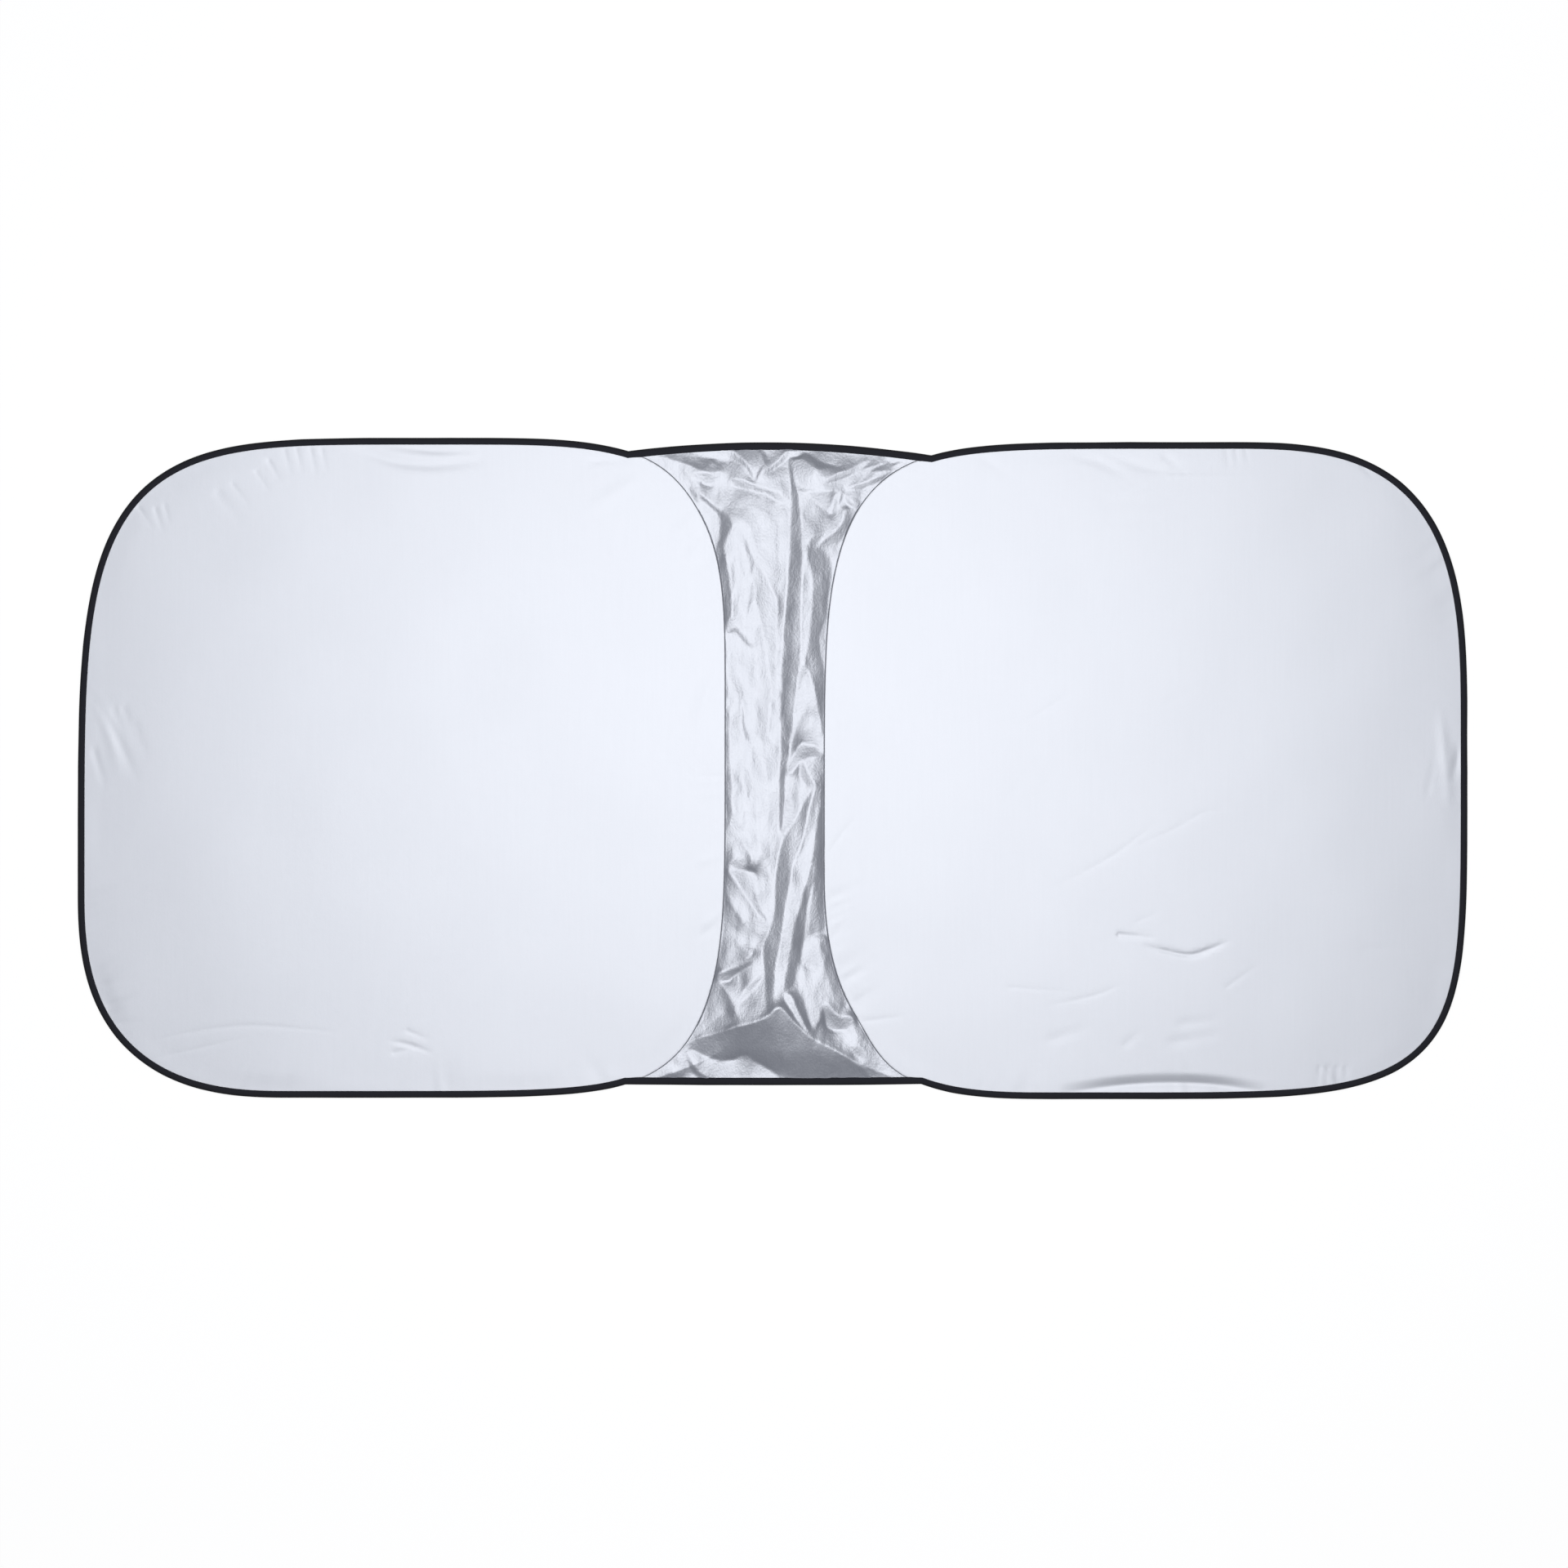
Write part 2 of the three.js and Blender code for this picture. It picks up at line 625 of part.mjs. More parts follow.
// The origin lies under the middle of the shade's outline
const middle = new THREE.Box3().setFromObject(sunshade).getCenter(new THREE.Vector3());
sunshade.position.set(-middle.x, -middle.y, 0);

export default sunshade;
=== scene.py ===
"""Windscreen sunshade laid open with its silver face up.

Two taut cloth panels on sprung hoops, a slack creased bridge of cloth between them and
black tape bound round the whole edge. Lengths are in metres unless a name or docstring
says millimetres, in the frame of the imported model: +X along the shade, +Y to its upper
edge, +Z out of the silver face.
"""
import logging
import math
from dataclasses import dataclass
from enum import Enum
from typing import Any, Callable, Sequence

import bmesh
import bpy
import numpy as np
from mathutils.kdtree import KDTree
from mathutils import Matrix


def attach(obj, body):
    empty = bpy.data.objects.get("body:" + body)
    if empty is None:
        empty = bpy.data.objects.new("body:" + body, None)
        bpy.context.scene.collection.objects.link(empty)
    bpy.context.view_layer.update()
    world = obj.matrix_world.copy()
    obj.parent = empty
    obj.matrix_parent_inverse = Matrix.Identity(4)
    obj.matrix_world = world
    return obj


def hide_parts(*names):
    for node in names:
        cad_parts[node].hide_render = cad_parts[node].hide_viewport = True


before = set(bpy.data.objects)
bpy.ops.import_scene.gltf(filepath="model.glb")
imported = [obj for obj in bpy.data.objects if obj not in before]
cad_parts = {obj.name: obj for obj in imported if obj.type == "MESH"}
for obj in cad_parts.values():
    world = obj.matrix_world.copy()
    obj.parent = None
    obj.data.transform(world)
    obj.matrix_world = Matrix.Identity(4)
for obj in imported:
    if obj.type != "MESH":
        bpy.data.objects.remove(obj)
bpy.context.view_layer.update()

BODY = "root"
MM = 0.001
TINY = 1e-9
SAME_SPOT = 1e-6
Pair = tuple[float, float]
Triple = tuple[float, float, float]
Colour = tuple[float, float, float, float]
log = logging.getLogger("sunshade")


class Slot(Enum):
    """Material slots of the pieces that are built here."""

    PANEL = "panel_cloth"
    BRIDGE = "bridge_cloth"
    TAPE = "edge_tape"
    CASING = "casing_tape"


# Sizes that the pieces share

@dataclass(frozen=True)
class Layers:
    """Thicknesses and levels of the layers, as the solids have them."""

    cloth: float = 0.4 * MM
    tape: float = 0.5 * MM
    binding_width: float = 7.5 * MM
    casing_width: float = 12 * MM
    wire: float = 1.8 * MM
    clearance: float = 0.5 * MM
    gap: float = 0.3 * MM
    slack_run: float = 25 * MM
    seam_gap: float = 0.08 * MM

    @property
    def channel_half(self) -> float:
        """Half the width of the channel that a wire runs in."""
        return self.wire / 2 + self.clearance

    @property
    def edge_to_wire(self) -> float:
        """Distance of a wire from the outside edge."""
        return self.tape + self.channel_half

    @property
    def cloth_level(self) -> float:
        """Underside of the cloth over a wire."""
        return self.tape + 2 * self.channel_half

    @property
    def slack_level(self) -> float:
        """Underside of the cloth where it lies on what the shade lies on."""
        return self.tape + self.gap

    @property
    def sewn_leg(self) -> float:
        """Level of a tape's flange that is sewn to the cloth from below."""
        return self.cloth_level - self.gap - self.tape

    @property
    def edge_to_cloth(self) -> float:
        """Distance of a panel's rim from the outside edge."""
        return self.tape + self.gap

    @property
    def seam_edge(self) -> float:
        """Distance of the bridge's rim from the hoop's edge, close beside the panel."""
        return self.edge_to_cloth - self.seam_gap

    @property
    def casing_reach(self) -> float:
        """Distance from a wire at which the cloth is clear of the casing."""
        return self.casing_width / 2 + self.gap


LAYERS = Layers()


def smooth(share: np.ndarray) -> np.ndarray:
    """Smoothstep of a share, held between 0 and 1."""
    held = np.clip(share, 0, 1)
    return held * held * (3 - 2 * held)


# Lines in the ground plane

# Where one squareness gives way to the other, as shares of a quadrant, and the number of
# points that a line is measured with
BLEND_FROM = 0.4
BLEND_RUN = 0.22
LINE_POINTS = 4000
CORNER_POINTS = 2000
TURN_POINTS = 20001
BOW_POINTS = 200


@dataclass(frozen=True)
class Hoop:
    """Outside edge of a hoop: four extreme points in millimetres and the squareness of
    the superellipse quadrant that joins each to the next, as one value that holds towards
    the side and one that holds towards the top or bottom."""

    name: str
    right: Pair
    top: Pair
    left: Pair
    bottom: Pair
    right_top: Pair
    left_top: Pair
    left_bottom: Pair
    right_bottom: Pair

    def point(self, turns: np.ndarray) -> np.ndarray:
        """Places on the edge.

        Args:
            turns: turns in degrees, counted anticlockwise from the right side.

        Returns:
            One row of x and y for each turn.
        """
        angle = np.radians(turns)
        cos, sin = np.cos(angle), np.sin(angle)
        rightwards, upwards = cos >= 0, sin >= 0
        side_x = np.where(rightwards, self.right[0], self.left[0])
        side_y = np.where(rightwards, self.right[1], self.left[1])
        pole_x = np.where(upwards, self.top[0], self.bottom[0])
        pole_y = np.where(upwards, self.top[1], self.bottom[1])
        across = np.abs(cos / (side_x - pole_x))
        along = np.abs(sin / (pole_y - side_y))
        quadrant_share = np.arctan2(along, across) / (math.pi / 2)
        share = smooth((quadrant_share - BLEND_FROM) / BLEND_RUN)
        powers = []
        for end in (0, 1):
            upper = np.where(rightwards, self.right_top[end], self.left_top[end])
            lower = np.where(rightwards, self.right_bottom[end], self.left_bottom[end])
            powers.append(np.where(upwards, upper, lower))
        power = powers[0] + (powers[1] - powers[0]) * share
        radius = (across ** power + along ** power) ** (-1 / power)
        return np.stack([pole_x + radius * cos, side_y + radius * sin], axis=1) * MM

    def arc(self, start: float, end: float, spacing: float) -> np.ndarray:
        """Evenly spaced places between two turns, both included."""
        return respace(self.point(np.linspace(start, end, LINE_POINTS)), spacing)

    def corner_turns(self) -> list[float]:
        """The turns at the four corners, from the upper right one anticlockwise."""
        turns = []
        for side, pole in (
            (self.right, self.top), (self.left, self.top),
            (self.left, self.bottom), (self.right, self.bottom),
        ):
            turns.append(math.degrees(math.atan2(pole[1] - side[1], side[0] - pole[0])) % 360)
        return turns

    def turn_at(self, x: float, start: float, end: float) -> float:
        """The turn between two others at which the edge is nearest to an x in millimetres."""
        turns = np.linspace(start, end, TURN_POINTS)
        return float(turns[np.argmin(np.abs(self.point(turns)[:, 0] - x * MM))])


LEFT_HOOP = Hoop(
    "left", (-50.5, 78), (-355, 356.5), (-749, -132), (-521, -355),
    (3.6, 3.95), (4.5, 4.5), (2.6, 2.6), (5.6, 6.45),
)
RIGHT_HOOP = Hoop(
    "right", (749, 42), (487, 352), (55, -105), (305, -356.5),
    (3.1, 3.1), (5.4, 5.75), (2.6, 3.1), (5.5, 5.5),
)


def run_lengths(line: np.ndarray) -> np.ndarray:
    """Length run at each point of a polyline."""
    steps = np.linalg.norm(np.diff(line, axis=0), axis=1)
    return np.concatenate([[0], np.cumsum(steps)])


def at_runs(line: np.ndarray, runs: np.ndarray) -> np.ndarray:
    """Places of a polyline at lengths run along it."""
    known = run_lengths(line)
    return np.stack([np.interp(runs, known, column) for column in line.T], axis=1)


def respace(line: np.ndarray, spacing: float) -> np.ndarray:
    """A polyline again with even steps of about a spacing."""
    length = run_lengths(line)[-1]
    return at_runs(line, np.linspace(0, length, max(2, round(length / spacing) + 1)))


def bowed(start: np.ndarray, end: np.ndarray, bow: float, spacing: float) -> np.ndarray:
    """The tape's run between two partings: one shallow bow to the right of the way from
    start to end, which is outwards when the shade is gone round anticlockwise."""
    along = (end - start) / np.linalg.norm(end - start)
    control = (start + end) / 2 + 2 * bow * np.array([along[1], -along[0]])
    share = np.linspace(0, 1, BOW_POINTS)[:, None]
    curve = (1 - share) ** 2 * start + 2 * share * (1 - share) * control + share ** 2 * end
    return respace(curve, spacing)


def mitres(line: np.ndarray, closed: bool) -> np.ndarray:
    """For each point of a line, the step that moves the line by 1 to its left."""
    if closed:
        steps = np.roll(line, -1, axis=0) - line
        before, after = np.roll(steps, 1, axis=0), steps
    else:
        steps = np.diff(line, axis=0)
        before = np.vstack([steps[:1], steps])
        after = np.vstack([steps, steps[-1:]])
    normals = []
    for step in (before, after):
        turned = np.stack([-step[:, 1], step[:, 0]], axis=1)
        normals.append(turned / np.linalg.norm(turned, axis=1)[:, None])
    middle = normals[0] + normals[1]
    middle /= np.linalg.norm(middle, axis=1)[:, None]
    return middle / np.sum(middle * normals[0], axis=1)[:, None]


def distance_to(places: np.ndarray, *lines: np.ndarray) -> np.ndarray:
    """Distance of each place from the nearest of some finely pointed lines."""
    points = np.vstack(lines)
    tree = KDTree(len(points))
    for k, (x, y) in enumerate(points):
        tree.insert((x, y, 0), k)
    tree.balance()
    return np.array([tree.find((x, y, 0))[2] for x, y in places])


@dataclass(frozen=True)
class Outline:
    """The lines that every piece is laid on."""

    left_top_reach: float = 105
    left_bottom_reach: float = 108
    right_top_reach: float = 116
    right_bottom_reach: float = 105
    top_bow: float = 11.7 * MM
    bottom_bow: float = 1 * MM
    spacing: float = 4 * MM

    def parting_turns(self, hoop: Hoop) -> Pair:
        """Turns at which the tape leaves a hoop: where its outer arc starts and ends."""
        if hoop is LEFT_HOOP:
            start = hoop.turn_at(hoop.right[0] - self.left_top_reach, 0, 90)
            return start, hoop.turn_at(hoop.right[0] - self.left_bottom_reach, 270, 360)
        start = hoop.turn_at(hoop.left[0] + self.right_bottom_reach, 180, 270)
        return start, hoop.turn_at(hoop.left[0] + self.right_top_reach, 90, 180) + 360

    def outer_arc(self, hoop: Hoop) -> np.ndarray:
        """The part of a hoop's edge that the tape is bound to, anticlockwise."""
        start, end = self.parting_turns(hoop)
        return hoop.arc(start, end, self.spacing)

    def inner_arc(self, hoop: Hoop, spacing: float) -> np.ndarray:
        """The part of a hoop's edge beside the bridge, anticlockwise."""
        start, end = self.parting_turns(hoop)
        return hoop.arc(end, start + 360, spacing)

    def runs(self) -> tuple[np.ndarray, np.ndarray]:
        """The tape's runs across the bridge: the bottom one and the top one."""
        left, right = self.outer_arc(LEFT_HOOP), self.outer_arc(RIGHT_HOOP)
        bottom = bowed(left[-1], right[0], self.bottom_bow, self.spacing)
        return bottom, bowed(right[-1], left[0], self.top_bow, self.spacing)

    def edge(self) -> np.ndarray:
        """The outside edge of the whole shade, anticlockwise, without its first point twice."""
        left, right = self.outer_arc(LEFT_HOOP), self.outer_arc(RIGHT_HOOP)
        bottom, top = self.runs()
        return np.vstack([left, bottom[1:-1], right, top[1:-1]])

    def wire(self, hoop: Hoop) -> np.ndarray:
        """The line of a hoop's wire."""
        loop = hoop.arc(0, 360, 2 * MM)[:-1]
        return loop + mitres(loop, True) * LAYERS.edge_to_wire


OUTLINE = Outline()
WIRES = [OUTLINE.wire(LEFT_HOOP), OUTLINE.wire(RIGHT_HOOP)]


def cloth_underside(places: np.ndarray, run: float = LAYERS.slack_run) -> np.ndarray:
    """Level of the cloth's underside: over the wires, and sunk where it is slack.

    Args:
        places: rows of x and y.
        run: width of the strip beside a casing in which the cloth sinks.

    Returns:
        One level for each place.
    """
    sunk = smooth((distance_to(places, *WIRES) - LAYERS.casing_reach) / run)
    return LAYERS.cloth_level + (LAYERS.slack_level - LAYERS.cloth_level) * sunk


# Folds of cloth

# Shares of its height that are left at the end of a fold
STREAK_END = 0.3
CREASE_END = 0.25


@dataclass(frozen=True)
class Fold:
    """One fold: a smooth crest line of (x, y, height), and how far to each side of it the
    cloth falls away. All in millimetres."""

    crest: tuple[Triple, ...]
    width: float
    power: float = 1.3
    round_off: float = 0.9
    span_points: int = 6

    def line(self) -> np.ndarray:
        """The crest as a fine polyline of x, y and height."""
        points = np.array(self.crest, dtype=float)
        if len(points) == 2:
            return points[0] + np.linspace(0, 1, 3)[:, None] * (points[1] - points[0])
        padded = np.vstack([2 * points[0] - points[1], points, 2 * points[-1] - points[-2]])
        parts = []
        for k in range(len(points) - 1):
            a, b, c, d = padded[k:k + 4]
            t = np.linspace(0, 1, self.span_points, endpoint=False)[:, None]
            parts.append(0.5 * (2 * b + (c - a) * t + (2 * a - 5 * b + 4 * c - d) * t ** 2
                                + (3 * b - a - 3 * c + d) * t ** 3))
        return np.vstack([*parts, points[-1:]])

    def add_to(self, heights: np.ndarray, places: np.ndarray) -> None:
        """Adds the fold to the heights of a cloth's places, both in millimetres."""
        line = self.line()
        low, high = line[:, :2].min(axis=0) - self.width, line[:, :2].max(axis=0) + self.width
        near = np.all((places > low) & (places < high), axis=1)
        spots = places[near]
        best = np.full(len(spots), np.inf)
        rise = np.zeros(len(spots))
        for a, b in zip(line[:-1], line[1:]):
            step = b - a
            to_spot = spots - a[:2]
            share = np.clip(to_spot @ step[:2] / max(step[:2] @ step[:2], TINY), 0, 1)
            away = to_spot - share[:, None] * step[:2]
            distance = np.linalg.norm(away, axis=1)
            rounded = np.sqrt(distance ** 2 + self.round_off ** 2) - self.round_off
            shape = np.clip(1 - rounded / self.width, 0, 1) ** self.power
            closer = distance < best
            best = np.where(closer, distance, best)
            rise = np.where(closer, shape * (a[2] + share * step[2]), rise)
        heights[near] += rise


def streak(x: float, y: float, end_x: float, end_y: float, height: float, width: float) -> Fold:
    """A short straight fold that runs out towards its end."""
    return Fold(((x, y, height), (end_x, end_y, STREAK_END * height)), width)


def crease(height: float, width: float, *spots: Pair) -> Fold:
    """A bent fold of one height that runs out at both ends."""
    ends = (spots[0], spots[-1])
    crest = [(*spot, height * (CREASE_END if spot in ends else 1)) for spot in spots]
    return Fold(tuple(crest), width)


def fold_heights(places: np.ndarray, folds: Sequence[Fold]) -> np.ndarray:
    """Heights of folds at places given in metres, in metres."""
    spots = places / MM
    heights = np.zeros(len(spots))
    for fold in folds:
        fold.add_to(heights, spots)
    return heights * MM


@dataclass(frozen=True)
class Ripples:
    """Soft random waves: the seed of their draws, the shortest and the longest wave, the
    direction across them in degrees from +X, and how far single waves turn from it."""

    seed: int
    lengths: Pair
    heading: float
    spread: float
    count: int = 14
    bends: Pair = (0.5, 1.5)
    bend_stretch: float = 3.1
    phases: Pair = (0, 6.28)

    def at(self, places: np.ndarray) -> np.ndarray:
        """The waves' sum at rows of x and y, about -1 to 1."""
        draws = np.random.default_rng(self.seed)
        total = np.zeros(len(places))
        for _ in range(self.count):
            angle = math.radians(self.heading + draws.uniform(-self.spread, self.spread))
            length = draws.uniform(*self.lengths)
            bend = draws.uniform(*self.bends)
            along = places @ np.array([math.cos(angle), math.sin(angle)])
            side = places @ np.array([-math.sin(angle), math.cos(angle)])
            turn = 2 * math.pi * side / (length * self.bend_stretch) + draws.uniform(*self.phases)
            warp = bend * np.sin(turn)
            total += np.sin(2 * math.pi * along / length + warp + draws.uniform(*self.phases))
        return total / math.sqrt(self.count)


@dataclass(frozen=True)
class Facet:
    """One plane of creased cloth, in millimetres: its outline as x and y in turn, the
    heading it rises towards in degrees, its slope, and how wide its low and its high
    edges are rounded."""

    outline: Sequence[float]
    heading: float
    slope: float
    low_round: float = 1.3
    high_round: float = 0.63

    def lay(self, slopes: np.ndarray, spots: np.ndarray) -> None:
        """Writes the facet's slope, and its hold from 0 to 1, over a cloth's places."""
        corners = np.array(self.outline, dtype=float).reshape(-1, 2)
        near = np.all((spots > corners.min(axis=0)) & (spots < corners.max(axis=0)), axis=1)
        places = spots[near]
        angle = math.radians(self.heading)
        uphill = np.array([math.cos(angle), math.sin(angle)])
        ahead = np.roll(corners, -1, axis=0)
        winding = np.sign(np.sum(corners[:, 0] * ahead[:, 1] - corners[:, 1] * ahead[:, 0]))
        inside = np.zeros(len(places), dtype=bool)
        clear = np.ones(len(places))
        for a, b in zip(corners, ahead):
            step = b - a
            to_place = places - a
            share = np.clip(to_place @ step / (step @ step), 0, 1)
            distance = np.linalg.norm(to_place - share[:, None] * step, axis=1)
            outwards = winding * np.array([step[1], -step[0]]) / np.linalg.norm(step)
            low = 0.5 - 0.5 * outwards @ uphill
            rounding = self.high_round + (self.low_round - self.high_round) * low
            clear = np.minimum(clear, distance / rounding)
            crosses = (a[1] > places[:, 1]) != (b[1] > places[:, 1])
            rise = step[1] if step[1] else 1.0
            inside ^= crosses & (places[:, 0] < a[0] + (places[:, 1] - a[1]) * step[0] / rise)
        share = (smooth(clear) * inside)[:, None]
        slopes[near] = slopes[near] * (1 - share) + share * np.array([*(self.slope * uphill), 1.0])


@dataclass
class Relief:
    """Heights, in millimetres, of cloth that comes as near as it can to the slopes of
    its facets and is held level along its rim and in the tape."""

    facets: Sequence[Facet]
    rim: np.ndarray
    tape_lines: np.ndarray
    tape_reach: float = 6.6
    calm: float = 60
    steepness: float = 0.82
    hold: float = 3.5
    crumples: tuple[tuple[int, float], ...] = ((300, 0.09), (1500, 0.075))
    crumple_stretch: Pair = (1.0, 0.5)
    crumple_lean: Pair = (1.0, 0.6)
    firmness: float = 0.55
    margin: int = 2
    steps: int = 900
    close_enough: float = 1e-8

    def __post_init__(self) -> None:
        """Finds the heights on a grid of 1 mm."""
        rim = self.rim / MM
        self.corner = np.floor(rim.min(axis=0)) - self.margin
        far = np.ceil(rim.max(axis=0)) + self.margin
        self.shape = tuple(int(size) + 1 for size in (far - self.corner)[::-1])
        y, x = np.mgrid[0:self.shape[0], 0:self.shape[1]]
        spots = np.column_stack([x.ravel(), y.ravel()]) + self.corner
        slopes = np.zeros((len(spots), 3))
        for facet in self.facets:
            facet.lay(slopes, spots)
        free_share = 1 - self.firmness * slopes[:, 2:]
        slopes[:, :2] *= self.steepness
        for cells, slope in self.crumples:
            slopes[:, :2] += self._crumpled(spots, cells, slope) * free_share
        cloth = np.zeros((len(spots), 3))
        Facet(rim.ravel(), 0, 1, 0.1, 0.1).lay(cloth, spots)
        clear = distance_to(spots, self.tape_lines / MM) > self.tape_reach
        free = ((cloth[:, 2] > 0.5) & clear).reshape(self.shape)
        self.heights = self._solve(slopes.reshape(*self.shape, 3), free)

    def _crumpled(self, spots: np.ndarray, cells: int, slope: float) -> np.ndarray:
        """Slopes of small random planes, longer down the cloth than across it."""
        draws = np.random.default_rng(cells)
        stretch = np.array(self.crumple_stretch)
        low, high = spots.min(axis=0), spots.max(axis=0)
        seeds = draws.uniform(low, high, (cells, 2)) * stretch
        tree = KDTree(cells)
        for k, seed in enumerate(seeds):
            tree.insert((*seed, 0), k)
        tree.balance()
        nearest = [tree.find((x, y, 0))[1] for x, y in spots * stretch]
        return draws.normal(0, slope, (cells, 2))[nearest] * np.array(self.crumple_lean)

    def _solve(self, slopes: np.ndarray, free: np.ndarray) -> np.ndarray:
        """Weighted least squares by conjugate gradients."""
        weight = 1 + self.hold * slopes[..., 2]
        across = (weight[:, 1:] + weight[:, :-1]) / 2
        along = (weight[1:, :] + weight[:-1, :]) / 2
        east = across * (slopes[:, 1:, 0] + slopes[:, :-1, 0]) / 2
        north = along * (slopes[1:, :, 1] + slopes[:-1, :, 1]) / 2

        def gather(across_flow: np.ndarray, along_flow: np.ndarray) -> np.ndarray:
            """What flows into each place from its neighbours."""
            total = np.zeros(self.shape)
            total[:, 1:] += across_flow
            total[:, :-1] -= across_flow
            total[1:, :] += along_flow
            total[:-1, :] -= along_flow
            return total * free

        def curve(heights: np.ndarray) -> np.ndarray:
            """How far the heights stand out of their neighbours', and of the level."""
            bent = gather(across * np.diff(heights, axis=1), along * np.diff(heights, axis=0))
            return bent + free * heights / self.calm ** 2

        heights = np.zeros(self.shape)
        rest = gather(east, north)
        way = rest.copy()
        size = np.sum(rest * rest)
        for _ in range(self.steps):
            bent = curve(way)
            stride = size / np.sum(way * bent)
            heights += stride * way
            rest -= stride * bent
            new_size = np.sum(rest * rest)
            if new_size < self.close_enough:
                break
            way = rest + way * (new_size / size)
            size = new_size
        return heights

    def at(self, places: np.ndarray) -> np.ndarray:
        """Heights at places given in metres, in metres."""
        spots = places / MM - self.corner
        limit = np.array(self.shape[::-1]) - 1.001
        spots = np.clip(spots, 0, limit)
        x, y = np.floor(spots).astype(int).T
        u, v = (spots - np.floor(spots)).T
        grid = self.heights
        lower = grid[y, x] * (1 - u) + grid[y, x + 1] * u
        upper = grid[y + 1, x] * (1 - u) + grid[y + 1, x + 1] * u
        return (lower * (1 - v) + upper * v) * MM


